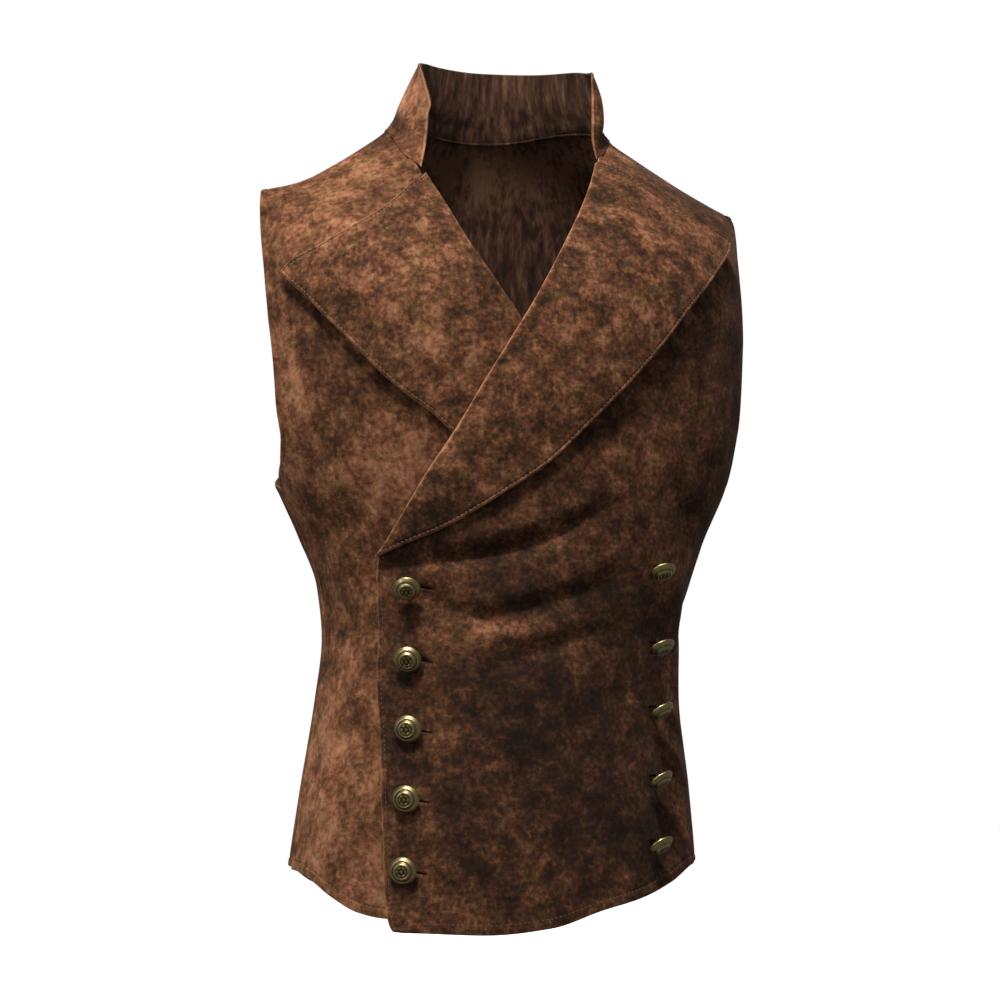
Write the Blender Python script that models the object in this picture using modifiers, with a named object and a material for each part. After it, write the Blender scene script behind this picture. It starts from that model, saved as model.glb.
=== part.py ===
"""A double-breasted suede vest, filled out as worn, with nobody in it.

X points to the wearer's left, -Y to the front and +Z up. The origin is in the middle of the
shoulder line, level with the cloth's underside where the shoulders meet the neck. Each sewn
piece is a thin wall of its own: two fronts, a back, a standing collar, two lapels, and ten
shank buttons.

The body is a stack of rounded rings, and the shoulders roll over from the chest ring to the
shoulder seams. A place on it is (t, z): t runs round the front or the back, from -1 at the
right side seam through 0 at the middle to 1 at the left side seam, and z is the height.
"""

import math

import bmesh
import bpy
import numpy as np
from mathutils import Matrix, Vector

# Driving sizes, in metres
PANEL_WALL = 0.0020
LAPEL_WALL = 0.0020
COLLAR_WALL = 0.0030
SEAM_GAP = 0.0004
CHEST_Z = -0.160
WAIST_Z = -0.380
ARMPIT_Z = -0.286
NECK_X = 0.088
SHOULDER_SEAM_Y = 0.003
BACK_NECK_Z = 0.013
SQUARENESS = 2.2
SIDE_SEAM_T = 0.9994

# How the layers lie on each other where the fronts cross
OVERLAP_LIFT = 0.0058
OVERLAP_MARGIN_T = 0.07
OVERLAP_FADE_T = 0.28
COVERED_TUCK = 0.0032
TUCK_FROM_T = -0.12
TUCK_TO_T = 0.03
LAPEL_SEAT = 0.0029
COVERED_LAPEL_LIFT = 0.0022
ROLL_RISE = 0.0022
ROLL_SHARE = 0.35
LEFT_LAPEL_RISE = 0.0065
RIGHT_LAPEL_RISE = 0.0055
LEFT_LOW_SHARE = 0.12
RIGHT_LOW_SHARE = 1.0
RIGHT_LAPEL_SHOWN_T = (0.04, 0.28)
COVERED_LAPEL_FADE_T = 0.06

# Where the folds die away, at the side seams and below the shoulders
FOLD_FADE_T = 0.10
FOLD_FREE_Z = -0.050
FOLD_FADE_Z = 0.050

# Buttons and their holes
BUTTON_RADIUS = 0.0106
SHANK_RADIUS = 0.0012
SHANK_START = -0.0026
SHANK_RINGS = 4
FOOT_RISE = 0.0045
HOLE_LENGTH = 0.0225
HOLE_WIDTH = 0.0036
HOLE_CUT_DEPTH = 0.0140
BUTTON_SEAT = 0.0034
BUTTON_CLEARANCE = 0.0018

# The shares of the front necklines and of its own length that the collar's parts take
COLLAR_ON_LEFT = 0.86
COLLAR_ON_RIGHT = 0.88
COLLAR_BEHIND = 0.50

# How finely each wall is divided
PANEL_ROWS = (8, 9, 7, 8)
HEM_LEVELS = (0.0, 0.035, 0.08)
FIRST_FREE_LEVEL = 0.18
CHEST_CROWDING = 1.7
SEAM_LEVEL = 2.99
FRONT_COLUMNS = 24
BACK_COLUMNS = 28
LAPEL_COLUMNS = 10
LAPEL_ROWS = 24
COLLAR_COLUMNS = 32
COLLAR_ROWS = 5
BUTTON_SIDES = 14
CURVE_SAMPLES = 600
FOLD_TAPER = 0.75
TINY = 1e-9


def smooth_through(keys, values, samples):
    """A smooth curve through the values, which never overshoots them, read at the samples."""
    steps = np.diff(keys)
    rises = np.diff(values) / steps
    before, after = rises[:-1], rises[1:]
    same_way = before * after > 0
    total = np.where(same_way, before + after, 1.0)
    inner = np.where(same_way, 2 * before * after / total, 0.0)
    slopes = np.concatenate([rises[:1], inner, rises[-1:]])
    i = np.clip(np.searchsorted(keys, samples, side="right") - 1, 0, len(steps) - 1)
    s = (samples - keys[i]) / steps[i]
    start = (1 + 2 * s) * (1 - s) ** 2 * values[i]
    end = s * s * (3 - 2 * s) * values[i + 1]
    bend = s * (1 - s) ** 2 * slopes[i] + s * s * (s - 1) * slopes[i + 1]
    return start + end + bend * steps[i]


class Table:
    """A short table whose rows are joined by smooth curves. The first column is the key."""

    def __init__(self, columns, rows):
        values = np.array(sorted(rows), float)
        self.keys = np.linspace(values[0, 0], values[-1, 0], CURVE_SAMPLES)
        self.curves = {
            name: smooth_through(values[:, 0], values[:, i], self.keys)
            for i, name in enumerate(columns)
        }

    def at(self, key, column):
        return np.interp(key, self.keys, self.curves[column])


# The rings of the body: how far it reaches to each side, forward and back, and its side line
TORSO = Table(
    ("z", "right", "left", "front", "back", "side_y"),
    [
        (-0.640, 0.1755, 0.1620, 0.120, 0.104, 0.000),
        (-0.580, 0.1678, 0.1545, 0.117, 0.100, 0.000),
        (-0.523, 0.1594, 0.1458, 0.112, 0.093, 0.000),
        (-0.451, 0.1478, 0.1354, 0.106, 0.085, 0.000),
        (-0.405, 0.1426, 0.1380, 0.105, 0.083, 0.000),
        (-0.363, 0.1467, 0.1515, 0.106, 0.087, 0.000),
        (-0.323, 0.1617, 0.1665, 0.110, 0.094, 0.002),
        (-0.275, 0.1827, 0.1883, 0.115, 0.104, 0.005),
        (-0.220, 0.2000, 0.2006, 0.118, 0.112, 0.008),
        (-0.160, 0.2050, 0.2043, 0.118, 0.116, 0.010),
    ],
)

# The top of the shoulders from right to left. Behind the neck the back's top is higher
SHOULDER = Table(
    ("x", "front_top", "back_top"),
    [
        (-0.210, -0.0580, -0.0580),
        (-0.202, -0.0550, -0.0550),
        (-0.168, -0.0455, -0.0455),
        (-0.139, -0.0305, -0.0305),
        (-0.113, -0.0135, -0.0135),
        (-0.096, -0.0010, -0.0010),
        (-0.088, 0.0070, 0.0070),
        (-0.050, 0.0070, 0.0300),
        (0.000, 0.0080, 0.0400),
        (0.050, 0.0100, 0.0300),
        (0.088, 0.0105, 0.0105),
        (0.096, 0.0030, 0.0030),
        (0.113, -0.0075, -0.0075),
        (0.139, -0.0225, -0.0225),
        (0.168, -0.0375, -0.0375),
        (0.202, -0.0530, -0.0530),
        (0.210, -0.0560, -0.0560),
    ],
)

# How the cloth falls from the shoulders: a higher fall is a straighter slope
FALL = Table(
    ("from_middle", "front", "back"),
    [
        (0.000, 1.05, 0.32),
        (0.050, 1.05, 0.38),
        (0.088, 1.05, 0.50),
        (0.113, 0.92, 0.56),
        (0.139, 0.80, 0.60),
        (0.168, 0.74, 0.60),
        (0.202, 0.70, 0.60),
    ],
)

# The height of the hem of each panel, across the body
HEM = Table(
    ("x", "front_left", "front_right", "back"),
    [
        (-0.176, -0.5800, -0.5800, -0.5825),
        (-0.165, -0.5920, -0.5920, -0.5825),
        (-0.155, -0.6030, -0.6025, -0.5872),
        (-0.138, -0.6250, -0.6140, -0.5965),
        (-0.122, -0.6280, -0.6180, -0.6020),
        (-0.091, -0.6290, -0.6195, -0.6065),
        (-0.048, -0.6305, -0.6190, -0.6075),
        (0.000, -0.6260, -0.6160, -0.6050),
        (0.040, -0.6138, -0.6060, -0.6010),
        (0.075, -0.6050, -0.5955, -0.5960),
        (0.104, -0.5940, -0.5855, -0.5900),
        (0.127, -0.5820, -0.5785, -0.5815),
        (0.176, -0.5790, -0.5780, -0.5790),
    ],
)

# Edges of the pieces as (x, z) on the front, from the bottom up
LEFT_FRONT_EDGE = (
    (-0.1085, -0.6400),
    (-0.1141, -0.6277),
    (-0.1180, -0.6116),
    (-0.1185, -0.5674),
    (-0.1175, -0.4928),
    (-0.1163, -0.4161),
    (-0.1184, -0.3600),
    (-0.1190, -0.3414),
)
LEFT_ROLL = (
    (-0.1190, -0.3414),
    (-0.0943, -0.2864),
    (-0.0735, -0.2509),
    (-0.0475, -0.2055),
    (-0.0209, -0.1616),
    (0.0146, -0.1065),
    (0.0528, -0.0485),
    (0.0685, -0.0225),
)
LEFT_NECKLINE = ((0.0685, -0.0225), (0.0765, -0.0060), (NECK_X, 0.0105))
LEFT_LAPEL_EDGE = (
    (-0.1200, -0.3436),
    (-0.0990, -0.3325),
    (-0.0794, -0.3239),
    (-0.0343, -0.2953),
    (-0.0022, -0.2734),
    (0.0348, -0.2375),
    (0.0481, -0.2242),
    (0.0716, -0.2006),
    (0.0904, -0.1799),
    (0.1120, -0.1544),
    (0.1359, -0.1302),
    (0.1548, -0.1102),
    (0.1706, -0.0930),
    (0.1722, -0.0886),
)
LEFT_LAPEL_TOP = (
    (0.0685, -0.0225),
    (0.0835, -0.0306),
    (0.1044, -0.0505),
    (0.1224, -0.0640),
    (0.1494, -0.0761),
    (0.1690, -0.0836),
    (0.1722, -0.0886),
)
RIGHT_FRONT_EDGE = ((0.116, -0.640), (0.118, -0.610), (0.118, -0.420), (0.112, -0.385))
RIGHT_ROLL = (
    (0.1120, -0.3850),
    (0.0660, -0.3060),
    (0.0200, -0.2290),
    (-0.0209, -0.1616),
    (-0.0389, -0.1356),
    (-0.0582, -0.1017),
    (-0.0720, -0.0649),
    (-0.0790, -0.0430),
)
RIGHT_NECKLINE = ((-0.0790, -0.0430), (-0.0850, -0.0160), (-NECK_X, 0.0070))
RIGHT_LAPEL_EDGE = (
    (0.1120, -0.3860),
    (0.0700, -0.3520),
    (0.0200, -0.3180),
    (-0.0300, -0.2820),
    (-0.0728, -0.2515),
    (-0.0913, -0.2350),
    (-0.1063, -0.2239),
    (-0.1248, -0.2070),
    (-0.1383, -0.1910),
    (-0.1518, -0.1744),
    (-0.1634, -0.1602),
    (-0.1733, -0.1468),
    (-0.1820, -0.1350),
    (-0.1868, -0.1268),
)
RIGHT_LAPEL_TOP = (
    (-0.0790, -0.0430),
    (-0.0840, -0.0492),
    (-0.0932, -0.0570),
    (-0.1196, -0.0796),
    (-0.1414, -0.0940),
    (-0.1640, -0.1084),
    (-0.1846, -0.1220),
    (-0.1868, -0.1268),
)

# Armhole edges as (x, z) from the armpit up
RIGHT_FRONT_ARMHOLE = (
    (-0.1790, -0.2860),
    (-0.1818, -0.2760),
    (-0.1842, -0.2650),
    (-0.1876, -0.2450),
    (-0.1938, -0.2000),
    (-0.1992, -0.1270),
    (-0.2004, -0.0850),
    (-0.2000, -0.0680),
    (-0.1975, -0.0538),
)
LEFT_FRONT_ARMHOLE = (
    (0.1825, -0.2860),
    (0.1832, -0.2760),
    (0.1850, -0.2650),
    (0.1880, -0.2450),
    (0.1942, -0.2000),
    (0.2004, -0.1270),
    (0.2048, -0.0880),
    (0.2042, -0.0680),
    (0.2020, -0.0530),
)
RIGHT_BACK_ARMHOLE = (
    (-0.1790, -0.2860),
    (-0.1690, -0.2825),
    (-0.1635, -0.2730),
    (-0.1602, -0.2550),
    (-0.1570, -0.2000),
    (-0.1580, -0.1500),
    (-0.1700, -0.1050),
    (-0.1835, -0.0770),
    (-0.1975, -0.0538),
)
LEFT_BACK_ARMHOLE = (
    (0.1825, -0.2860),
    (0.1700, -0.2825),
    (0.1640, -0.2730),
    (0.1605, -0.2550),
    (0.1570, -0.2000),
    (0.1580, -0.1500),
    (0.1720, -0.1050),
    (0.1870, -0.0780),
    (0.2020, -0.0530),
)

# The collar, from its right front end through the back of the neck to its left front end
COLLAR_TOP = Table(
    ("along", "x", "y", "z", "hollow"),
    [
        (-1.00, -0.0745, -0.0250, 0.0530, 0.0060),
        (-0.80, -0.0697, -0.0120, 0.0562, 0.0034),
        (-0.50, -0.0622, 0.0140, 0.0632, 0.0004),
        (-0.25, -0.0432, 0.0480, 0.0708, 0.0018),
        (0.00, 0.0000, 0.0640, 0.0709, 0.0020),
        (0.25, 0.0440, 0.0480, 0.0690, 0.0020),
        (0.50, 0.0670, 0.0140, 0.0650, 0.0000),
        (0.70, 0.0722, -0.0030, 0.0610, -0.0060),
        (0.86, 0.0722, -0.0130, 0.0590, -0.0065),
        (1.00, 0.0690, -0.0230, 0.0570, 0.0000),
    ],
)

# The largest folds: a soft trough from start to end, or a ridge where its depth is below zero.
# Its middle is moved across by the bow.
FOLD_COLUMNS = ("x_start", "z_start", "x_end", "z_end", "bow", "depth", "half_width")
FRONT_FOLDS = (
    (-0.122, -0.3490, 0.066, -0.2890, -0.0145, 0.0060, 0.0120),
    (-0.100, -0.3800, 0.030, -0.3480, -0.0100, -0.0022, 0.0110),
    (-0.098, -0.3700, -0.030, -0.3970, -0.0030, 0.0036, 0.0090),
    (-0.062, -0.3970, 0.074, -0.3570, 0.0000, 0.0042, 0.0100),
    (-0.052, -0.4350, 0.072, -0.3950, 0.0025, 0.0032, 0.0095),
    (0.097, -0.3700, 0.094, -0.6000, 0.0030, 0.0034, 0.0130),
    (0.122, -0.4000, 0.116, -0.6100, 0.0020, -0.0024, 0.0100),
    (-0.160, -0.3700, -0.124, -0.4150, 0.0050, 0.0032, 0.0120),
    (-0.164, -0.5200, -0.130, -0.4700, 0.0040, 0.0026, 0.0120),
    (-0.118, -0.2700, -0.168, -0.3400, 0.0060, 0.0030, 0.0130),
    (0.084, -0.2750, 0.150, -0.3400, 0.0080, 0.0030, 0.0150),
    (-0.060, -0.5500, 0.050, -0.4800, 0.0100, 0.0018, 0.0160),
)
BACK_FOLDS = (
    (-0.130, -0.3400, 0.010, -0.3900, -0.0100, 0.0050, 0.0120),
    (0.128, -0.3550, -0.004, -0.3800, -0.0060, 0.0044, 0.0120),
    (-0.120, -0.4150, -0.020, -0.4200, 0.0080, 0.0036, 0.0130),
    (0.118, -0.4400, 0.014, -0.4120, 0.0060, 0.0032, 0.0120),
    (-0.086, -0.1700, -0.126, -0.3000, 0.0120, 0.0040, 0.0170),
    (0.092, -0.1600, 0.122, -0.3100, -0.0120, 0.0036, 0.0160),
    (-0.060, -0.5900, -0.078, -0.4600, 0.0040, 0.0026, 0.0160),
    (0.066, -0.5900, 0.084, -0.4700, -0.0050, 0.0030, 0.0170),
    (0.000, -0.6200, 0.000, 0.0100, 0.0000, 0.0016, 0.0100),
)

# Buttons as (x, z) of their middle, and how far each leans down and to the wearer's right
FASTENED_BUTTONS = (
    (-0.0974, -0.3690, 34, -6),
    (-0.0968, -0.4245, 27, -4),
    (-0.0988, -0.4775, 17, 2),
    (-0.1020, -0.5300, 16, 4),
    (-0.1056, -0.5830, 14, 2),
)
LOOSE_BUTTONS = (
    (0.0912, -0.3510, 50, 6),
    (0.0920, -0.4115, 58, 2),
    (0.0905, -0.4625, 60, -6),
    (0.0870, -0.5165, 60, -8),
    (0.0840, -0.5660, 60, -8),
)

# The turned outline of a button: the top of its dome, then outward, down and back in
BUTTON_TOP = 0.0054
BUTTON_OUTLINE = (
    (0.0036, 0.0049),
    (0.0062, 0.0036),
    (0.0071, 0.0028),
    (0.0094, 0.0014),
    (BUTTON_RADIUS, 0.0004),
    (0.0101, -0.0010),
    (0.0063, -0.0020),
    (0.0026, -0.0024),
)

MATERIALS = {
    # name: base colour, roughness, metallic
    "suede": ((0.150, 0.082, 0.052, 1.0), 0.92, 0.0),
    "suede_lapel": ((0.135, 0.075, 0.050, 1.0), 0.90, 0.0),
    "button_brass": ((0.300, 0.215, 0.110, 1.0), 0.42, 1.0),
}


def clear_scene():
    for obj in list(bpy.data.objects):
        bpy.data.objects.remove(obj, do_unlink=True)


def new_collection(name):
    collection = bpy.data.collections.new(name)
    bpy.context.scene.collection.children.link(collection)
    return collection


def new_material(name):
    colour, roughness, metallic = MATERIALS[name]
    material = bpy.data.materials.new(name)
    material.use_nodes = True
    shader = material.node_tree.nodes["Principled BSDF"]
    shader.inputs["Base Color"].default_value = colour
    shader.inputs["Roughness"].default_value = roughness
    shader.inputs["Metallic"].default_value = metallic
    material.diffuse_color = colour
    return material


def smoothstep(low, high, value):
    s = np.clip((value - low) / (high - low), 0.0, 1.0)
    return s * s * (3 - 2 * s)


def mix(a, b, share):
    return a + (b - a) * share


# Places on the body
def half_width_at(left, z):
    level = np.minimum(z, CHEST_Z)
    return np.where(left, TORSO.at(level, "left"), TORSO.at(level, "right"))


def x_at(t, z):
    half_width = half_width_at(t > 0, z)
    return half_width * np.sign(t) * np.abs(np.sin(t * math.pi / 2)) ** (2 / SQUARENESS)


def t_at(x, z):
    share = np.clip(np.abs(x) / half_width_at(x > 0, z), 0.0, 1.0)
    return np.sign(x) * np.arcsin(share ** (SQUARENESS / 2)) * 2 / math.pi


def fold_depth(folds, x, z):
    """How far the folds push the cloth in at each place."""
    depth = np.zeros_like(x)
    for row in folds:
        fold = dict(zip(FOLD_COLUMNS, row))
        run_x = fold["x_end"] - fold["x_start"]
        run_z = fold["z_end"] - fold["z_start"]
        length = math.hypot(run_x, run_z)
        from_x, from_z = x - fold["x_start"], z - fold["z_start"]
        along = (from_x * run_x + from_z * run_z) / length**2
        across = (from_z * run_x - from_x * run_z) / length
        inside = np.clip(along, 0.0, 1.0)
        taper = (4 * inside * (1 - inside)) ** FOLD_TAPER
        off_line = across - fold["bow"] * 4 * inside * (1 - inside)
        depth += fold["depth"] * taper * np.exp(-((off_line / fold["half_width"]) ** 2))
    return depth


def ring_place(side, t, z):
    """The body's own surface, without folds. Side is "front" or "back"."""
    level = np.minimum(z, CHEST_Z)
    x = x_at(t, z)
    side_y = TORSO.at(level, "side_y")
    reach = -TORSO.at(level, "front") if side == "front" else TORSO.at(level, "back")
    y = side_y + (reach - side_y) * np.abs(np.cos(t * math.pi / 2)) ** (2 / SQUARENESS)
    top = SHOULDER.at(x, side + "_top")
    rise = np.clip((z - CHEST_Z) / (top - CHEST_Z), 0.0, 1.0)
    fall = FALL.at(np.abs(x), side)
    y = np.where(z > CHEST_Z, SHOULDER_SEAM_Y + (y - SHOULDER_SEAM_Y) * (1 - rise**2) ** fall, y)
    return np.stack([x, y, z], axis=-1)


def ring_normal(side, t, z):
    """The outward direction of the body at each place."""
    step_t, step_z = 0.004, 0.001
    top = SHOULDER.at(x_at(t, z), side + "_top")
    high = np.minimum(z + step_z, np.maximum(top, z - step_z / 2))
    low_t = np.maximum(t - step_t, -1.0)
    high_t = np.minimum(t + step_t, 1.0)
    round_way = ring_place(side, high_t, z) - ring_place(side, low_t, z)
    up_way = ring_place(side, t, high) - ring_place(side, t, z - step_z)
    normal = np.cross(round_way, up_way) if side == "front" else np.cross(up_way, round_way)
    return normal / np.maximum(np.linalg.norm(normal, axis=-1, keepdims=True), TINY)


def cloth_place(side, t, z, out):
    """A place on the body with its folds, moved outward by out."""
    place = ring_place(side, t, z)
    folds = FRONT_FOLDS if side == "front" else BACK_FOLDS
    # Folds die away at the side seams and the shoulders, where the panels meet
    inward = fold_depth(folds, place[..., 0], z)
    inward = inward * smoothstep(0.0, FOLD_FADE_T, 1 - np.abs(t))
    inward = inward * smoothstep(0.0, FOLD_FADE_Z, FOLD_FREE_Z - z)
    return place + ring_normal(side, t, z) * (out - inward)[..., None]


# Levels run from 0 at the hem, through 1 at the waist and 2 at the chest, to 3 at the shoulder
def height_of(level, t, panel):
    side = "back" if panel == "back" else "front"
    hem = HEM.at(x_at(t, HEM.at(x_at(t, WAIST_Z), panel)), panel)
    top = SHOULDER.at(x_at(t, CHEST_Z), side + "_top")
    z = np.where(level < 1, mix(hem, WAIST_Z, level), mix(WAIST_Z, CHEST_Z, level - 1))
    roll = np.sin(np.clip(level - 2, 0.0, 1.0) * math.pi / 2)
    return np.where(level > 2, mix(CHEST_Z, top, roll), z)


def level_of(x, z, panel):
    """The level of a place given by x and z."""
    t = t_at(x, z)
    side = "back" if panel == "back" else "front"
    hem = HEM.at(x, panel)
    top = SHOULDER.at(x, side + "_top")
    roll = np.arcsin(np.clip((z - CHEST_Z) / (top - CHEST_Z), 0.0, 1.0)) * 2 / math.pi
    low = np.clip((z - hem) / (WAIST_Z - hem), 0.0, 1.0)
    level = np.where(z < WAIST_Z, low, 1 + (z - WAIST_Z) / (CHEST_Z - WAIST_Z))
    return t, np.where(z > CHEST_Z, 2 + roll, level)


def edge_by_level(stretches, panel):
    """Where an edge made of (x, z) stretches runs: its levels, and t at each of them."""
    levels, places = [], []
    for stretch in stretches:
        points = np.array(stretch)
        t, level = level_of(points[:, 0], points[:, 1], panel)
        level = np.maximum.accumulate(level + TINY * np.arange(len(level)))
        samples = np.linspace(level[0], level[-1], CURVE_SAMPLES)
        levels.append(samples)
        places.append(smooth_through(level, t, samples))
    return np.concatenate(levels), np.concatenate(places)


def panel_levels(rows_low, rows_waist, rows_chest, rows_top):
    """The levels of a panel's rows, with rows right at the waist, armpit and chest."""
    armpit = 1 + (ARMPIT_Z - WAIST_Z) / (CHEST_Z - WAIST_Z)
    return np.concatenate(
        [
            HEM_LEVELS,
            np.linspace(FIRST_FREE_LEVEL, 1.0, rows_low),
            np.linspace(1.0, armpit, rows_waist)[1:],
            mix(armpit, 2.0, np.linspace(0.0, 1.0, rows_chest) ** CHEST_CROWDING)[1:],
            np.linspace(2.0, 3.0, rows_top)[1:],
        ]
    )


def overlap_out(t, z):
    """How far the left front is held off the body by the right front beneath it."""
    levels, places = edge_by_level((RIGHT_FRONT_EDGE, RIGHT_ROLL, RIGHT_NECKLINE), "front_right")
    _, level = level_of(x_at(t, z), z, "front_right")
    past = t - np.interp(level, levels, places)
    return OVERLAP_LIFT * smoothstep(OVERLAP_FADE_T, OVERLAP_MARGIN_T, past)


def past_left_edge(t, z):
    """How far round a place is beyond the left front's own edge, roll line and neckline."""
    levels, places = edge_by_level((LEFT_FRONT_EDGE, LEFT_ROLL, LEFT_NECKLINE), "front_left")
    _, level = level_of(x_at(t, z), z, "front_left")
    return t - np.interp(level, levels, places)


def covered_out(t, z):
    """The right front sinks a little where the left front covers it."""
    return -COVERED_TUCK * smoothstep(TUCK_FROM_T, TUCK_TO_T, past_left_edge(t, z))


def wall(name, columns, rows, place, thickness, material, collection):
    """A sheet of columns by rows, moved to its place and thickened outward."""
    mesh = bpy.data.meshes.new(name)
    sheet = bmesh.new()
    bmesh.ops.create_grid(sheet, x_segments=columns, y_segments=rows, size=1.0)
    flat = np.array([vertex.co[:2] for vertex in sheet.verts])
    column = np.rint((flat[:, 0] + 1) / 2 * columns).astype(int)
    row = np.rint((flat[:, 1] + 1) / 2 * rows).astype(int)
    for vertex, point in zip(sheet.verts, place(column, row)):
        vertex.co = Vector(point)
    sheet.normal_update()
    outward = sum(face.normal.xy.dot(face.calc_center_median().xy) for face in sheet.faces)
    if outward < 0:
        bmesh.ops.reverse_faces(sheet, faces=sheet.faces)
    sheet.to_mesh(mesh)
    sheet.free()
    mesh.shade_smooth()
    obj = bpy.data.objects.new(name, mesh)
    obj.data.materials.append(material)
    collection.objects.link(obj)
    solid = obj.modifiers.new("wall", "SOLIDIFY")
    solid.thickness = thickness
    solid.offset = 1.0
    solid.use_even_offset = True
    return obj


def outer_edge(armhole, panel, levels):
    """How far round a panel reaches at each level: to its side seam, or to its armhole above."""
    side_levels, side_places = edge_by_level((armhole,), panel)
    reach = np.interp(levels, side_levels, np.abs(side_places), left=SIDE_SEAM_T)
    return np.sign(armhole[0][0]) * np.minimum(reach, SIDE_SEAM_T)


def front_panel(name, edges, armhole, out, material, collection):
    """A front: from its front edge, roll line and neckline round to the side seam and armhole."""
    levels = panel_levels(*PANEL_ROWS)
    inner = np.interp(levels, *edge_by_level(edges, name))
    outer = outer_edge(armhole, name, levels)

    def place(column, row):
        t = mix(inner[row], outer[row], column / FRONT_COLUMNS)
        z = height_of(levels[row], t, name) - SEAM_GAP * (levels[row] > SEAM_LEVEL)
        return cloth_place("front", t, z, out(t, z))

    return wall(name, FRONT_COLUMNS, len(levels) - 1, place, PANEL_WALL, material, collection)


def back_panel(material, collection):
    """The back, whose top runs along both shoulder seams and dips along the neckline."""
    levels = panel_levels(*PANEL_ROWS)
    right_outer = outer_edge(RIGHT_BACK_ARMHOLE, "back", levels)
    left_outer = outer_edge(LEFT_BACK_ARMHOLE, "back", levels)
    neck_t = t_at(NECK_X, CHEST_Z)
    neck_columns = BACK_COLUMNS // 7 * 3
    side_columns = (BACK_COLUMNS - neck_columns) // 2

    def place(column, row):
        from_middle = column - BACK_COLUMNS / 2
        half_neck = BACK_COLUMNS / 2 - side_columns
        near = neck_t * from_middle / half_neck
        beyond = (np.abs(from_middle) - half_neck) / side_columns
        outer = np.where(from_middle > 0, left_outer[row], right_outer[row])
        far = mix(np.sign(from_middle) * neck_t, outer, np.clip(beyond, 0.0, 1.0))
        t = np.where(np.abs(from_middle) <= half_neck, near, far)
        top = neckline_level(x_at(t, CHEST_Z))
        level = np.where(levels[row] > 2, mix(2.0, top, levels[row] - 2), levels[row])
        z = height_of(level, t, "back")
        place_on_back = cloth_place("back", t, z, np.zeros_like(t))
        place_on_back[..., 1] += SEAM_GAP * (level > SEAM_LEVEL)
        return place_on_back

    return wall("back", BACK_COLUMNS, len(levels) - 1, place, PANEL_WALL, material, collection)


def neckline_level(x):
    """The level of the back's top edge: the shoulder seam, or the neckline between the seams."""
    middle = math.asin((BACK_NECK_Z - CHEST_Z) / (SHOULDER.at(0.0, "back_top") - CHEST_Z))
    middle_level = 2 + middle * 2 / math.pi
    dip = np.clip(1 - (x / NECK_X) ** 2, 0.0, 1.0) ** 0.8
    return 3 - (3 - middle_level) * dip


def along(points, share):
    """Places along a run of (x, z) points, evenly spaced by length."""
    points = np.array(points)
    lengths = np.concatenate([[0.0], np.cumsum(np.hypot(*np.diff(points, axis=0).T))])
    samples = share * lengths[-1]
    return np.stack([smooth_through(lengths, points[:, i], samples) for i in (0, 1)], axis=-1)


def lapel(name, roll, edge, top, out, material, collection):
    """A lapel: from its roll line, where it turns back, out to its free edge."""

    def place(column, row):
        across, up = column / LAPEL_COLUMNS, row / LAPEL_ROWS
        inner, outer = along(roll, up), along(edge, up)
        straight = mix(inner, outer, across[:, None])
        # The top row follows the lapel's own top edge, and the rows below bend less and less
        chord = mix(np.array(top[0]), np.array(top[-1]), across[:, None])
        bend = along(top, across) - chord
        spot = straight + bend * (up**3)[:, None]
        x, z = spot[:, 0], spot[:, 1]
        t = t_at(x, z)
        return cloth_place("front", t, z, out(t, z, across, up))

    return wall(name, LAPEL_COLUMNS, LAPEL_ROWS, place, LAPEL_WALL, material, collection)


def lapel_rise(across, up, edge_rise, low_share):
    """How far a lapel stands off what it lies on: least at its roll line, ends and tip."""
    rolled = ROLL_RISE * np.sin(np.clip(across / ROLL_SHARE, 0.0, 1.0) * math.pi / 2)
    at_edge = edge_rise * mix(low_share, 1.0, smoothstep(0.25, 0.75, up))
    free = (at_edge - ROLL_RISE) * smoothstep(0.25, 1.0, across)
    return (rolled + free) * smoothstep(-0.02, 0.22, up)


def left_lapel_out(t, z, across, up):
    return overlap_out(t, z) + LAPEL_SEAT + lapel_rise(across, up, LEFT_LAPEL_RISE, LEFT_LOW_SHARE)


def right_lapel_out(t, z, across, up):
    """The right lapel lies close where the left front covers it, and stands off beyond."""
    past = past_left_edge(t, z)
    shown = smoothstep(*RIGHT_LAPEL_SHOWN_T, -past)
    covered = COVERED_LAPEL_LIFT * smoothstep(TUCK_TO_T, TUCK_TO_T + COVERED_LAPEL_FADE_T, past)
    rise = lapel_rise(across, up, RIGHT_LAPEL_RISE, RIGHT_LOW_SHARE) * shown
    return covered_out(t, z) + covered + LAPEL_SEAT + rise


def neckline(along_collar):
    """The seam that the collar stands on: (side, t, z) from its right end to its left end."""
    at_back = np.abs(along_collar) <= COLLAR_BEHIND
    quarter_turns = np.clip(along_collar / COLLAR_BEHIND, -1.0, 1.0)
    back_x = NECK_X * np.sin(quarter_turns * math.pi / 2)
    back_t = t_at(back_x, CHEST_Z)
    back_z = height_of(neckline_level(back_x), back_t, "back")
    share = np.clip((np.abs(along_collar) - COLLAR_BEHIND) / (1 - COLLAR_BEHIND), 0.0, 1.0)
    left = along(LEFT_NECKLINE[::-1], share * COLLAR_ON_LEFT)
    right = along(RIGHT_NECKLINE[::-1], share * COLLAR_ON_RIGHT)
    front = np.where(along_collar[:, None] > 0, left, right)
    front_t = t_at(front[:, 0], front[:, 1])
    return at_back, (back_t, back_z), (front_t, front[:, 1])


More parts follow.
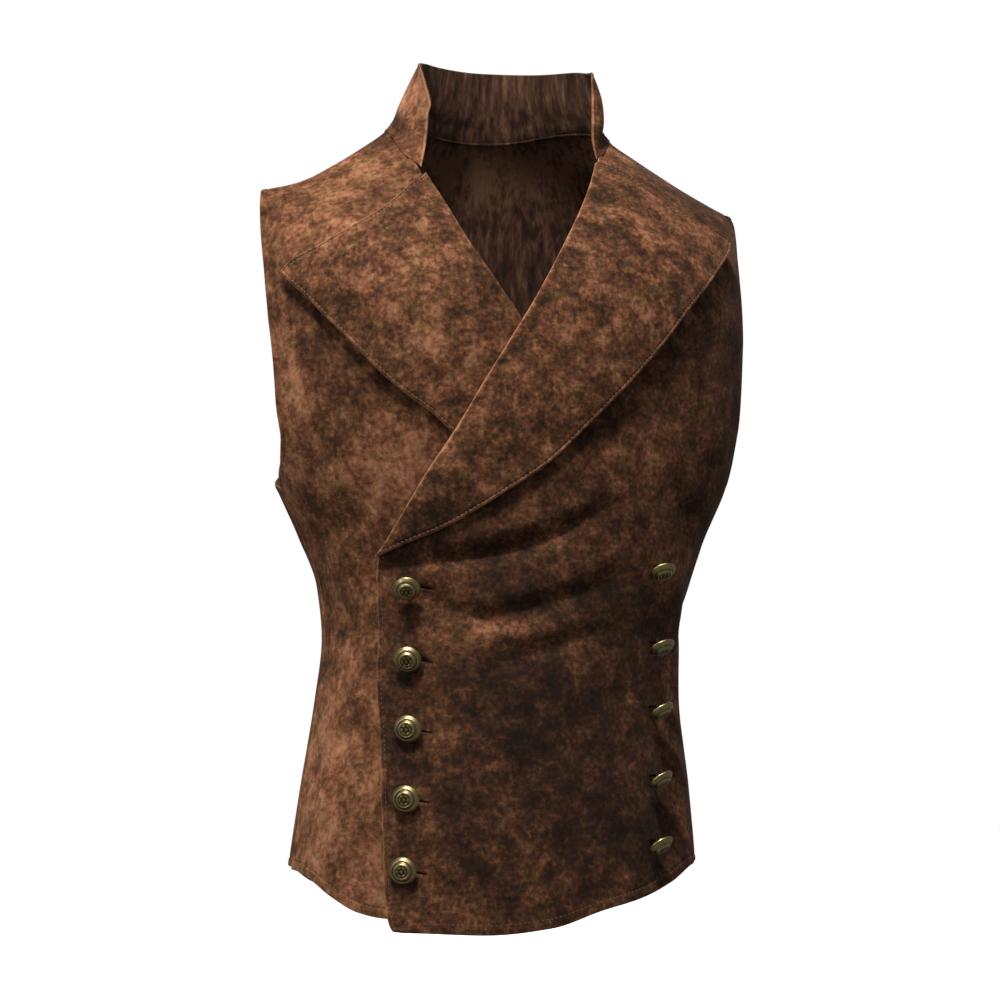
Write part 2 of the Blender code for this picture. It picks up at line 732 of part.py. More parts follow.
def collar(material, collection):
    """The standing collar, open at the front, a little hollow from its base to its top."""

    def place(column, row):
        way = column / COLLAR_COLUMNS * 2 - 1
        up = row / COLLAR_ROWS
        at_back, (back_t, back_z), (front_t, front_z) = neckline(way)
        seat = np.full_like(way, PANEL_WALL + SEAM_GAP)
        base_back = cloth_place("back", back_t, back_z, seat)
        base_front = cloth_place("front", front_t, front_z, seat)
        base = np.where(at_back[:, None], base_back, base_front)
        rim = np.stack([COLLAR_TOP.at(way, axis) for axis in "xyz"], axis=-1)
        point = mix(base, rim, up[:, None])
        inward = -point * (1.0, 1.0, 0.0)
        inward /= np.maximum(np.linalg.norm(inward, axis=-1, keepdims=True), TINY)
        return point + inward * (COLLAR_TOP.at(way, "hollow") * 4 * up * (1 - up))[:, None]

    return wall("collar", COLLAR_COLUMNS, COLLAR_ROWS, place, COLLAR_WALL, material, collection)


def frame_on_front(x, z, out, lean_down, lean_right):
    """A matrix on the front at (x, z): local Z points out of the cloth and local X to the left."""
    x, z = np.array([x]), np.array([z])
    t = t_at(x, z)
    spot = Vector(cloth_place("front", t, z, np.array([out]))[0])
    outward = Vector(ring_normal("front", t, z)[0])
    across = Vector((0, 0, 1)).cross(outward).normalized()
    upward = outward.cross(across)
    turned = Matrix((across, upward, outward)).transposed().to_4x4()
    lean = Matrix.Rotation(math.radians(lean_down), 4, "X")
    lean @= Matrix.Rotation(math.radians(-lean_right), 4, "Y")
    return Matrix.Translation(spot) @ turned @ lean


def shank_rings(matrix, foot, outward, count, sides):
    """Rings of a bent shank, from the back of a button to the spot where it is sewn on."""
    back = np.array(matrix @ Vector((0.0, 0.0, SHANK_START)))
    turn = np.array(matrix.to_3x3()).T
    bend = np.linalg.norm(back - foot) / 3
    corners = (back, back - turn[2] * bend, foot + outward * bend, foot)
    angle = np.arange(sides) / sides * 2 * math.pi
    rings = []
    for s in np.linspace(0.0, 1.0, count):
        weights = ((1 - s) ** 3, 3 * s * (1 - s) ** 2, 3 * s * s * (1 - s), s**3)
        spot = sum(weight * corner for weight, corner in zip(weights, corners))
        leads = ((1 - s) ** 2, 2 * s * (1 - s), s * s)
        way = sum(lead * (b - a) for lead, a, b in zip(leads, corners, corners[1:]))
        way /= np.linalg.norm(way)
        beside = turn[0] - way * (turn[0] @ way)
        beside /= np.linalg.norm(beside)
        above = np.cross(beside, way)
        ring = np.cos(angle)[:, None] * beside + np.sin(angle)[:, None] * above
        rings.append(spot + ring * SHANK_RADIUS)
    return rings


def button(name, matrix, foot, outward, material, collection):
    """A turned button: a stepped rim round a low dome, and a shank behind."""
    angle = np.arange(BUTTON_SIDES) / BUTTON_SIDES * 2 * math.pi
    rings = []
    for radius, height in BUTTON_OUTLINE:
        ring = zip(radius * np.cos(angle), radius * np.sin(angle))
        rings.append(np.array([matrix @ Vector((*point, height)) for point in ring]))
    rings += shank_rings(matrix, foot, outward, SHANK_RINGS, BUTTON_SIDES)
    middle = np.array(matrix @ Vector((0.0, 0.0, BUTTON_TOP)))
    points = np.concatenate(rings + [[middle, foot]])
    last = len(rings) - 1
    faces = []
    for k in range(BUTTON_SIDES):
        n = (k + 1) % BUTTON_SIDES
        faces.append((len(points) - 2, k, n))
        faces.append((len(points) - 1, last * BUTTON_SIDES + n, last * BUTTON_SIDES + k))
        for i in range(last):
            a, b = i * BUTTON_SIDES, (i + 1) * BUTTON_SIDES
            faces.append((a + k, b + k, b + n, a + n))
    mesh = bpy.data.meshes.new(name)
    mesh.from_pydata(points.tolist(), [], faces)
    mesh.materials.append(material)
    obj = bpy.data.objects.new(name, mesh)
    collection.objects.link(obj)
    return obj


def cut_buttonholes(front, collection):
    """A slit for each fastened button, from its shank towards the wearer's left."""
    for number, (x, z, *leans) in enumerate(FASTENED_BUTTONS, start=1):
        foot_z = z + FOOT_RISE * math.sin(math.radians(math.hypot(*leans)))
        mesh = bpy.data.meshes.new(f"hole_{number}")
        block = bmesh.new()
        bmesh.ops.create_cube(block, size=1.0)
        shift = Matrix.Translation((HOLE_LENGTH / 2 - HOLE_WIDTH / 2, 0.0, 0.0))
        size = Matrix.Diagonal((HOLE_LENGTH, HOLE_WIDTH, HOLE_CUT_DEPTH, 1.0))
        bmesh.ops.transform(block, matrix=shift @ size, verts=block.verts)
        block.to_mesh(mesh)
        block.free()
        cutter = bpy.data.objects.new(f"hole_{number}", mesh)
        cutter.matrix_world = frame_on_front(x, foot_z, OVERLAP_LIFT + PANEL_WALL / 2, 0, 0)
        cutter.hide_render = True
        cutter.display_type = "WIRE"
        collection.objects.link(cutter)
        cut = front.modifiers.new(cutter.name, "BOOLEAN")
        cut.operation = "DIFFERENCE"
        cut.solver = "EXACT"
        cut.object = cutter


def sewn_spots(column, x, z, lean_down, lean_right):
    """A button's matrix, and the place and direction where its shank is sewn on."""
    lean = math.radians(math.hypot(lean_down, lean_right))
    # A leaning button stands off far enough for its rim to clear the cloth
    height = max(BUTTON_RADIUS * math.sin(lean) + BUTTON_CLEARANCE, BUTTON_SEAT)
    on_left_front = OVERLAP_LIFT + PANEL_WALL
    matrix = frame_on_front(x, z, on_left_front + height, lean_down, lean_right)
    foot_z = z + FOOT_RISE * math.sin(lean)
    on_right_front = covered_out(t_at(x, foot_z), foot_z) + PANEL_WALL
    under = float(on_right_front) if column == "r" else on_left_front
    foot = frame_on_front(x, foot_z, under + SEAM_GAP, 0, 0)
    return matrix, np.array(foot.translation), np.array(foot.to_3x3())[:, 2]


def add_buttons(material, collection):
    """The fastened buttons are sewn to the right front, and the others to the left front."""
    for column, places in (("r", FASTENED_BUTTONS), ("l", LOOSE_BUTTONS)):
        for number, place in enumerate(places, start=1):
            matrix, foot, outward = sewn_spots(column, *place)
            button(f"button_{column}{number}", matrix, foot, outward, material, collection)


def build_vest():
    clear_scene()
    vest = new_collection("suede_vest")
    cutters = new_collection("cutters")
    suede = new_material("suede")
    suede_lapel = new_material("suede_lapel")
    brass = new_material("button_brass")

    right_edges = (RIGHT_FRONT_EDGE, RIGHT_ROLL, RIGHT_NECKLINE)
    left_edges = (LEFT_FRONT_EDGE, LEFT_ROLL, LEFT_NECKLINE)
    front_panel("front_right", right_edges, RIGHT_FRONT_ARMHOLE, covered_out, suede, vest)
    front_left = front_panel("front_left", left_edges, LEFT_FRONT_ARMHOLE, overlap_out, suede, vest)
    back_panel(suede, vest)
    collar(suede, vest)
    right_lines = (RIGHT_ROLL, RIGHT_LAPEL_EDGE, RIGHT_LAPEL_TOP)
    left_lines = (LEFT_ROLL, LEFT_LAPEL_EDGE, LEFT_LAPEL_TOP)
    lapel("lapel_right", *right_lines, right_lapel_out, suede_lapel, vest)
    lapel("lapel_left", *left_lines, left_lapel_out, suede_lapel, vest)
    add_buttons(brass, vest)
    cut_buttonholes(front_left, cutters)


build_vest()
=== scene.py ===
"""The looks of a double-breasted suede vest, filled out as worn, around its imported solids.

X points to the wearer's left, -Y to the front and +Z up, in metres. Each sewn piece of cloth is
a closed shell of its own on its solid's form, with rounded edges, sewn lines and creases. A place
on the body is (t, z): t runs round the front or the back, from -1 at the right side seam through
0 at the middle to 1 at the left side seam, and z is the height.
"""

import math

import bpy
import numpy as np
from mathutils import Matrix, Vector
from mathutils.bvhtree import BVHTree
from mathutils.kdtree import KDTree


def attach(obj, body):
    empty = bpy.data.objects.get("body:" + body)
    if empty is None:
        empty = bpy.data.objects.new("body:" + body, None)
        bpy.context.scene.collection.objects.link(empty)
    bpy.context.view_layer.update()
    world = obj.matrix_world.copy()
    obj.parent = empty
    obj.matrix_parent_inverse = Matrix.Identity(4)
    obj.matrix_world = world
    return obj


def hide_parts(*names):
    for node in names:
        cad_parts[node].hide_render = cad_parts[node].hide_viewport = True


# The photograph's camera: its turn about the vest, its place and its lens
CAMERA_TURN = math.radians(-18.0)
CAMERA_DISTANCE = 2.30
CAMERA_HEIGHT = -0.489
CAMERA_AIM = Vector((0.0, 0.0, -0.292))
CAMERA_LENS = 103.5
SENSOR_WIDTH = 36.0

# Names that end in _T are measured round the body, in t, and those in _Z are heights. A pair of
# shares, levels or t is where a change starts and where it is complete

# Walls, and the space under what lies on the cloth
PANEL_WALL = 0.0020
LAPEL_WALL = 0.0020
COLLAR_WALL = 0.0030
SEAM_GAP = 0.0004

# Heights and lines of the body. The side seams lie almost at t = -1 and t = 1, so they are closed
CHEST_Z = -0.160
WAIST_Z = -0.380
NECK_X = 0.088
SHOULDER_SEAM_Y = 0.003
BACK_NECK_Z = 0.013
NECK_DIP_POWER = 0.8
SQUARENESS = 2.2
SIDE_SEAM_T = 0.99998
METRES_PER_T = 0.30

# The left front lies over the right front, which is tucked in beneath it
OVERLAP_LIFT = 0.0058
OVERLAP_MARGIN_T = 0.07
OVERLAP_FADE_T = 0.28
COVERED_TUCK = 0.0032
TUCK_FROM_T = -0.12
TUCK_TO_T = 0.03

# How the lapels stand off the fronts, up along them and across, from roll line to free edge
LAPEL_SEAT = 0.0029
COVERED_LAPEL_LIFT = 0.0022
COVERED_LAPEL_FADE_T = 0.06
ROLL_RISE = 0.0022
ROLL_SHARE = 0.35
LEFT_LAPEL_RISE = 0.0065
RIGHT_LAPEL_RISE = 0.0055
LEFT_LOW_SHARE = 0.12
RIGHT_LOW_SHARE = 1.0
RISE_FULL_UP = (0.25, 0.75)
RISE_STARTS_UP = (-0.02, 0.22)
RISE_FULL_ACROSS = (0.25, 1.0)
WAVES_FULL_ACROSS = (0.3, 1.0)
RIGHT_LAPEL_SHOWN_T = (0.04, 0.28)

# The fronts' own edges and the lapels stay back from the roll line, by a length that is a share
# of their width at most. The inset of the fronts starts at a level. Between them is the turn
ROLL_INSET = 0.0024
LARGEST_INSET = 0.45
LEAST_WIDTH = 0.02
INSET_STARTS = (1.15, 1.22)
TURN_ANGLE = math.pi * 0.92

# The column of a lapel that shows which way it lies, and, once it has its turn, the turn's crest
INWARD_COLUMN = 4
CREST_COLUMN = 4

# Where folds die away, at the side seams and the shoulders and towards their own ends
FOLD_FADE_T = 0.10
FOLD_FREE_Z = -0.050
FOLD_FADE_Z = 0.050
FOLD_TAPER = 0.75

# The armpits' round corners, and how the fronts, by level, and the back, by its share of the
# way up, come together at the shoulders. The neckline takes up a share of the back's columns
SCOOP_LEVELS = 0.075
SCOOP_POWER = 0.6
FRONT_MEETS = (2.93, 3.0)
BACK_MEETS = (0.977, 1.0)
MEETS_ACROSS = (0.30, 0.45)
NECK_SHARE = 12 / 28

# The collar: how far it runs on each neckline, and its foot flared out over the shoulders
COLLAR_ON_LEFT = 0.86
COLLAR_ON_RIGHT = 0.88
COLLAR_BEHIND = 0.50
COLLAR_TOP_WALL = 0.0016
COLLAR_FOLD_POWER = 0.7
RIGHT_END_WIDTH = 0.10
LEFT_END_WIDTH = 0.08
FLARE_OUT = 0.0055
FLARE_DOWN = 0.0052
FLARE_DOWN_BEHIND = 0.0028
FLARE_AT_ENDS = 0.15
FLARE_FULL = (1.0, 0.80)
FLARE_WALL = 0.0008
FLARE_SHARE = 0.16
FOOT_THICKENS = (0.0, 0.35)
TOP_THINS = (0.55, 1.0)
KNEE_UP = 0.20

# Buttons and their shanks
BUTTON_RADIUS = 0.0106
BUTTON_SPREAD = 1.05
BUTTON_CLEARANCE = 0.0018
BUTTON_SEAT = 0.0034
SHANK_RADIUS = 0.0012
SHANK_START = -0.0026
FOOT_RISE = 0.0045

# Buttonholes: a slit that droops to one side, with a round eye that is open between two angles
SLIT_LENGTH = 0.0190
SLIT_WIDTH = 0.0006
SLIT_EYE = 0.0014
SLIT_EYE_OPENS = (35, 325)
SLIT_DROOP = -12.0
SLIT_REACH = 0.006

# How the cloth is sewn and turned. The last rows of the back's outer face look like its inside
BACK_INNER_ROWS = 4
RIM_ROUND = 0.0011
FRONT_SEWN = 0.0036
HEM_SEWN = 0.0072
ARMHOLE_SEWN = 0.0062
LAPEL_SEWN = 0.0026
COLLAR_SEWN = 0.0034
SEAM_SEWN = 0.0026
GROOVE_DEPTH = 0.00045
GROOVE_WIDTH = 0.00055
EDGE_PUFF = 0.00045

# Stitches, and how their paths are found on the cloth from a little way above it
STITCH_LENGTH = 0.0026
STITCH_SPACE = 0.0010
SHORTEST_STITCH = 0.6
LEAST_STITCHES = 3
THREAD_RADIUS = 0.00024
THREAD_ARCH = 1.05
THREAD_SUNK = 0.55
THREAD_TIP = 0.12
AIM_ABOVE = 0.004
AIM_REACH = 0.012
NEAREST_TO_EDGE = 0.9

# How finely curves, shells, slits, stitches and buttons are divided
CURVE_SAMPLES = 600
PATH_SAMPLES = 90
FRONT_GRID = (96, 150)
BACK_GRID = (130, 150)
LAPEL_GRID = (44, 110)
COLLAR_GRID = (150, 34)
WRAP_COLUMNS = 7
FINER_EDGE = 4
FINER_PATH = 3
NEXT_LINE = 3
SLIT_EYE_SIDES = 20
SLIT_TIP_SIDES = 7
STITCH_RINGS = 5
STITCH_SIDES = 6
BUTTON_SECTORS = 96
FACE_RINGS = 46
SHANK_RINGS = 10
TINY = 1e-9

# A grid's lines, by how far they lie from an edge: those of its rim, the next ones where it is
# bare, those on both sides of a sewn line, and the spaced ones that lead up to it. On a path
# that is shorter than EVEN_SHARE times their reach they are pressed together
RIM_LINES = (0.0, 0.00012, 0.00040, 0.00085, 0.0014)
BARE_LINES = (0.0022, 0.0034)
SEWN_LINES = (-0.0012, -0.0007, -0.0003, 0.0, 0.0003, 0.0007, 0.0012, 0.0024)
LEAD_START = 0.0024
LEAD_STEP = 0.0011
LEAD_STOP = 0.0008
LINE_SPACE = 0.0003
EVEN_SHARE = 1.35

SIDES = ("start", "end", "bottom", "top")
FORWARD = np.array((0.0, -1.0, 0.0))
BACKWARD = np.array((0.0, 1.0, 0.0))

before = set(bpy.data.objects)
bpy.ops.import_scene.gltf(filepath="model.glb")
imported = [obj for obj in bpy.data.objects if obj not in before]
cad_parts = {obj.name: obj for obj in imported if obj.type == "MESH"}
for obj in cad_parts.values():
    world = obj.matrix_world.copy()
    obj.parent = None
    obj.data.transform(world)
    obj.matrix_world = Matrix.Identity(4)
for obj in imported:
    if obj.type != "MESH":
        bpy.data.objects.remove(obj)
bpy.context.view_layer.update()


def smooth_through(keys, values, samples):
    """A smooth curve through the values, which never overshoots them, read at the samples."""
    steps = np.diff(keys)
    rises = np.diff(values) / steps
    before, after = rises[:-1], rises[1:]
    same_way = before * after > 0
    total = np.where(same_way, before + after, 1.0)
    inner = np.where(same_way, 2 * before * after / total, 0.0)
    slopes = np.concatenate([rises[:1], inner, rises[-1:]])
    i = np.clip(np.searchsorted(keys, samples, side="right") - 1, 0, len(steps) - 1)
    s = (samples - keys[i]) / steps[i]
    start = (1 + 2 * s) * (1 - s) ** 2 * values[i]
    end = s * s * (3 - 2 * s) * values[i + 1]
    bend = s * (1 - s) ** 2 * slopes[i] + s * s * (s - 1) * slopes[i + 1]
    return start + end + bend * steps[i]


class Table:
    """A short table whose rows are joined by smooth curves. The first column is the key."""

    def __init__(self, columns, rows):
        values = np.array(sorted(rows), float)
        self.keys = np.linspace(values[0, 0], values[-1, 0], CURVE_SAMPLES)
        self.curves = {
            name: smooth_through(values[:, 0], values[:, i], self.keys)
            for i, name in enumerate(columns)
        }

    def at(self, key, column):
        return np.interp(key, self.keys, self.curves[column])


# The rings of the body: how far it reaches to each side, forward and back, and its side line
TORSO = Table(
    ("z", "right", "left", "front", "back", "side_y"),
    [
        (-0.640, 0.1755, 0.1620, 0.120, 0.104, 0.000),
        (-0.580, 0.1678, 0.1545, 0.117, 0.100, 0.000),
        (-0.523, 0.1594, 0.1458, 0.112, 0.093, 0.000),
        (-0.451, 0.1478, 0.1354, 0.106, 0.085, 0.000),
        (-0.405, 0.1426, 0.1380, 0.105, 0.083, 0.000),
        (-0.363, 0.1467, 0.1515, 0.106, 0.087, 0.000),
        (-0.323, 0.1617, 0.1665, 0.110, 0.094, 0.002),
        (-0.275, 0.1827, 0.1883, 0.115, 0.104, 0.005),
        (-0.220, 0.2000, 0.2006, 0.118, 0.112, 0.008),
        (-0.160, 0.2050, 0.2043, 0.118, 0.116, 0.010),
    ],
)

# The top of the shoulders from right to left. Behind the neck the back's top is higher
SHOULDER = Table(
    ("x", "front_top", "back_top"),
    [
        (-0.210, -0.0580, -0.0580),
        (-0.202, -0.0550, -0.0550),
        (-0.168, -0.0455, -0.0455),
        (-0.139, -0.0305, -0.0305),
        (-0.113, -0.0135, -0.0135),
        (-0.096, -0.0010, -0.0010),
        (-0.088, 0.0070, 0.0070),
        (-0.050, 0.0070, 0.0300),
        (0.000, 0.0080, 0.0400),
        (0.050, 0.0100, 0.0300),
        (0.088, 0.0105, 0.0105),
        (0.096, 0.0030, 0.0030),
        (0.113, -0.0075, -0.0075),
        (0.139, -0.0225, -0.0225),
        (0.168, -0.0375, -0.0375),
        (0.202, -0.0530, -0.0530),
        (0.210, -0.0560, -0.0560),
    ],
)

# How the cloth falls from the shoulders: a higher fall is a straighter slope
FALL = Table(
    ("from_middle", "front", "back"),
    [
        (0.000, 1.05, 0.32),
        (0.050, 1.05, 0.38),
        (0.088, 1.05, 0.50),
        (0.113, 0.92, 0.56),
        (0.139, 0.80, 0.60),
        (0.168, 0.74, 0.60),
        (0.202, 0.70, 0.60),
    ],
)

# The height of the hem of each panel, across the body
HEM = Table(
    ("x", "front_left", "front_right", "back"),
    [
        (-0.176, -0.5800, -0.5800, -0.5825),
        (-0.165, -0.5920, -0.5920, -0.5825),
        (-0.155, -0.6030, -0.6025, -0.5872),
        (-0.138, -0.6250, -0.6140, -0.5965),
        (-0.122, -0.6280, -0.6180, -0.6020),
        (-0.091, -0.6290, -0.6195, -0.6065),
        (-0.048, -0.6305, -0.6190, -0.6075),
        (0.000, -0.6260, -0.6160, -0.6050),
        (0.040, -0.6138, -0.6060, -0.6010),
        (0.075, -0.6050, -0.5955, -0.5960),
        (0.104, -0.5940, -0.5855, -0.5900),
        (0.127, -0.5820, -0.5785, -0.5815),
        (0.176, -0.5790, -0.5780, -0.5790),
    ],
)

# Edges of the pieces as (x, z) on the front, from the bottom up. Lapel tops run outward
LEFT_FRONT_EDGE = (
    (-0.1085, -0.6400),
    (-0.1141, -0.6277),
    (-0.1180, -0.6116),
    (-0.1185, -0.5674),
    (-0.1175, -0.4928),
    (-0.1163, -0.4161),
    (-0.1184, -0.3600),
    (-0.1190, -0.3414),
)
LEFT_ROLL = (
    LEFT_FRONT_EDGE[-1],
    (-0.0943, -0.2864),
    (-0.0735, -0.2509),
    (-0.0475, -0.2055),
    (-0.0209, -0.1616),
    (0.0146, -0.1065),
    (0.0528, -0.0485),
    (0.0685, -0.0225),
)
LEFT_NECKLINE = (LEFT_ROLL[-1], (0.0765, -0.0060), (NECK_X, 0.0105))
LEFT_LAPEL_EDGE = (
    (-0.1200, -0.3436),
    (-0.0990, -0.3325),
    (-0.0794, -0.3239),
    (-0.0343, -0.2953),
    (-0.0022, -0.2734),
    (0.0348, -0.2375),
    (0.0481, -0.2242),
    (0.0716, -0.2006),
    (0.0904, -0.1799),
    (0.1120, -0.1544),
    (0.1359, -0.1302),
    (0.1548, -0.1102),
    (0.1706, -0.0930),
    (0.1722, -0.0886),
)
LEFT_LAPEL_TOP = (
    LEFT_ROLL[-1],
    (0.0835, -0.0306),
    (0.1044, -0.0505),
    (0.1224, -0.0640),
    (0.1494, -0.0761),
    (0.1690, -0.0836),
    LEFT_LAPEL_EDGE[-1],
)
RIGHT_FRONT_EDGE = ((0.116, -0.640), (0.118, -0.610), (0.118, -0.420), (0.112, -0.385))
RIGHT_ROLL = (
    RIGHT_FRONT_EDGE[-1],
    (0.0660, -0.3060),
    (0.0200, -0.2290),
    (-0.0209, -0.1616),
    (-0.0389, -0.1356),
    (-0.0582, -0.1017),
    (-0.0720, -0.0649),
    (-0.0790, -0.0430),
)
RIGHT_NECKLINE = (RIGHT_ROLL[-1], (-0.0850, -0.0160), (-NECK_X, 0.0070))
RIGHT_LAPEL_EDGE = (
    (0.1120, -0.3860),
    (0.0700, -0.3520),
    (0.0200, -0.3180),
    (-0.0300, -0.2820),
    (-0.0728, -0.2515),
    (-0.0913, -0.2350),
    (-0.1063, -0.2239),
    (-0.1248, -0.2070),
    (-0.1383, -0.1910),
    (-0.1518, -0.1744),
    (-0.1634, -0.1602),
    (-0.1733, -0.1468),
    (-0.1820, -0.1350),
    (-0.1868, -0.1268),
)
RIGHT_LAPEL_TOP = (
    RIGHT_ROLL[-1],
    (-0.0840, -0.0492),
    (-0.0932, -0.0570),
    (-0.1196, -0.0796),
    (-0.1414, -0.0940),
    (-0.1640, -0.1084),
    (-0.1846, -0.1220),
    RIGHT_LAPEL_EDGE[-1],
)

# Armhole edges as (x, z) from the armpit up
RIGHT_FRONT_ARMHOLE = (
    (-0.1790, -0.2860),
    (-0.1818, -0.2760),
    (-0.1842, -0.2650),
    (-0.1876, -0.2450),
    (-0.1938, -0.2000),
    (-0.1992, -0.1270),
    (-0.2004, -0.0850),
    (-0.2000, -0.0680),
    (-0.1975, -0.0538),
)
LEFT_FRONT_ARMHOLE = (
    (0.1825, -0.2860),
    (0.1832, -0.2760),
    (0.1850, -0.2650),
    (0.1880, -0.2450),
    (0.1942, -0.2000),
    (0.2004, -0.1270),
    (0.2034, -0.0880),
    (0.2034, -0.0680),
    (0.2018, -0.0530),
)
RIGHT_BACK_ARMHOLE = (
    RIGHT_FRONT_ARMHOLE[0],
    (-0.1690, -0.2825),
    (-0.1635, -0.2730),
    (-0.1602, -0.2550),
    (-0.1570, -0.2000),
    (-0.1580, -0.1500),
    (-0.1700, -0.1050),
    (-0.1835, -0.0770),
    RIGHT_FRONT_ARMHOLE[-1],
)
LEFT_BACK_ARMHOLE = (
    LEFT_FRONT_ARMHOLE[0],
    (0.1700, -0.2825),
    (0.1640, -0.2730),
    (0.1605, -0.2550),
    (0.1570, -0.2000),
    (0.1580, -0.1500),
    (0.1720, -0.1050),
    (0.1870, -0.0780),
    (0.2020, -0.0530),
)

# The collar, from its right front end through the back of the neck to its left front end
COLLAR_TOP = Table(
    ("along", "x", "y", "z", "hollow"),
    [
        (-1.00, -0.0745, -0.0250, 0.0530, 0.0060),
        (-0.80, -0.0697, -0.0120, 0.0562, 0.0034),
        (-0.50, -0.0622, 0.0140, 0.0632, 0.0004),
        (-0.25, -0.0432, 0.0480, 0.0708, 0.0018),
        (0.00, 0.0000, 0.0640, 0.0709, 0.0020),
        (0.25, 0.0440, 0.0480, 0.0690, 0.0020),
        (0.50, 0.0670, 0.0140, 0.0650, 0.0000),
        (0.70, 0.0722, -0.0030, 0.0610, -0.0060),
        (0.86, 0.0722, -0.0130, 0.0590, -0.0065),
        (1.00, 0.0690, -0.0230, 0.0570, 0.0000),
    ],
)

# How far each front end of the collar is turned in, from its base to its top
COLLAR_RIGHT_END = Table(
    ("up", "inward"),
    [
        (0.00, 0.0040),
        (0.25, 0.0020),
        (0.50, 0.0026),
        (0.63, 0.0058),
        (0.74, 0.0038),
        (0.86, 0.0016),
        (1.00, 0.0),
    ],
)
COLLAR_LEFT_END = Table(("up", "inward"), [(0.00, 0.0040), (0.50, 0.0020), (1.00, 0.0)])

# Folds: a soft trough from start to end, or a ridge where its depth is below zero. Its middle
# is moved across by the bow. The large ones are in the solids too, where the first ends higher
FOLD_COLUMNS = ("x_start", "z_start", "x_end", "z_end", "bow", "depth", "half_width")
LARGE_FRONT_FOLDS = (
    (-0.122, -0.3490, 0.066, -0.3000, -0.0125, 0.0058, 0.0088),
    (-0.100, -0.3800, 0.030, -0.3480, -0.0100, -0.0022, 0.0110),
    (-0.098, -0.3700, -0.030, -0.3970, -0.0030, 0.0036, 0.0090),
    (-0.062, -0.3970, 0.074, -0.3570, 0.0000, 0.0042, 0.0100),
    (-0.052, -0.4350, 0.072, -0.3950, 0.0025, 0.0032, 0.0095),
    (0.097, -0.3700, 0.094, -0.6000, 0.0030, 0.0034, 0.0130),
    (0.122, -0.4000, 0.116, -0.6100, 0.0020, -0.0024, 0.0100),
    (-0.160, -0.3700, -0.124, -0.4150, 0.0050, 0.0032, 0.0120),
    (-0.164, -0.5200, -0.130, -0.4700, 0.0040, 0.0026, 0.0120),
    (-0.118, -0.2700, -0.168, -0.3400, 0.0060, 0.0030, 0.0130),
    (0.084, -0.2750, 0.150, -0.3400, 0.0080, 0.0030, 0.0150),
    (-0.060, -0.5500, 0.050, -0.4800, 0.0100, 0.0018, 0.0160),
)
LARGE_BACK_FOLDS = (
    (-0.130, -0.3400, 0.010, -0.3900, -0.0100, 0.0050, 0.0120),
    (0.128, -0.3550, -0.004, -0.3800, -0.0060, 0.0044, 0.0120),
    (-0.120, -0.4150, -0.020, -0.4200, 0.0080, 0.0036, 0.0130),
    (0.118, -0.4400, 0.014, -0.4120, 0.0060, 0.0032, 0.0120),
    (-0.086, -0.1700, -0.126, -0.3000, 0.0120, 0.0040, 0.0170),
    (0.092, -0.1600, 0.122, -0.3100, -0.0120, 0.0036, 0.0160),
    (-0.060, -0.5900, -0.078, -0.4600, 0.0040, 0.0026, 0.0160),
    (0.066, -0.5900, 0.084, -0.4700, -0.0050, 0.0030, 0.0170),
    (0.000, -0.6200, 0.000, 0.0100, 0.0000, 0.0016, 0.0100),
)
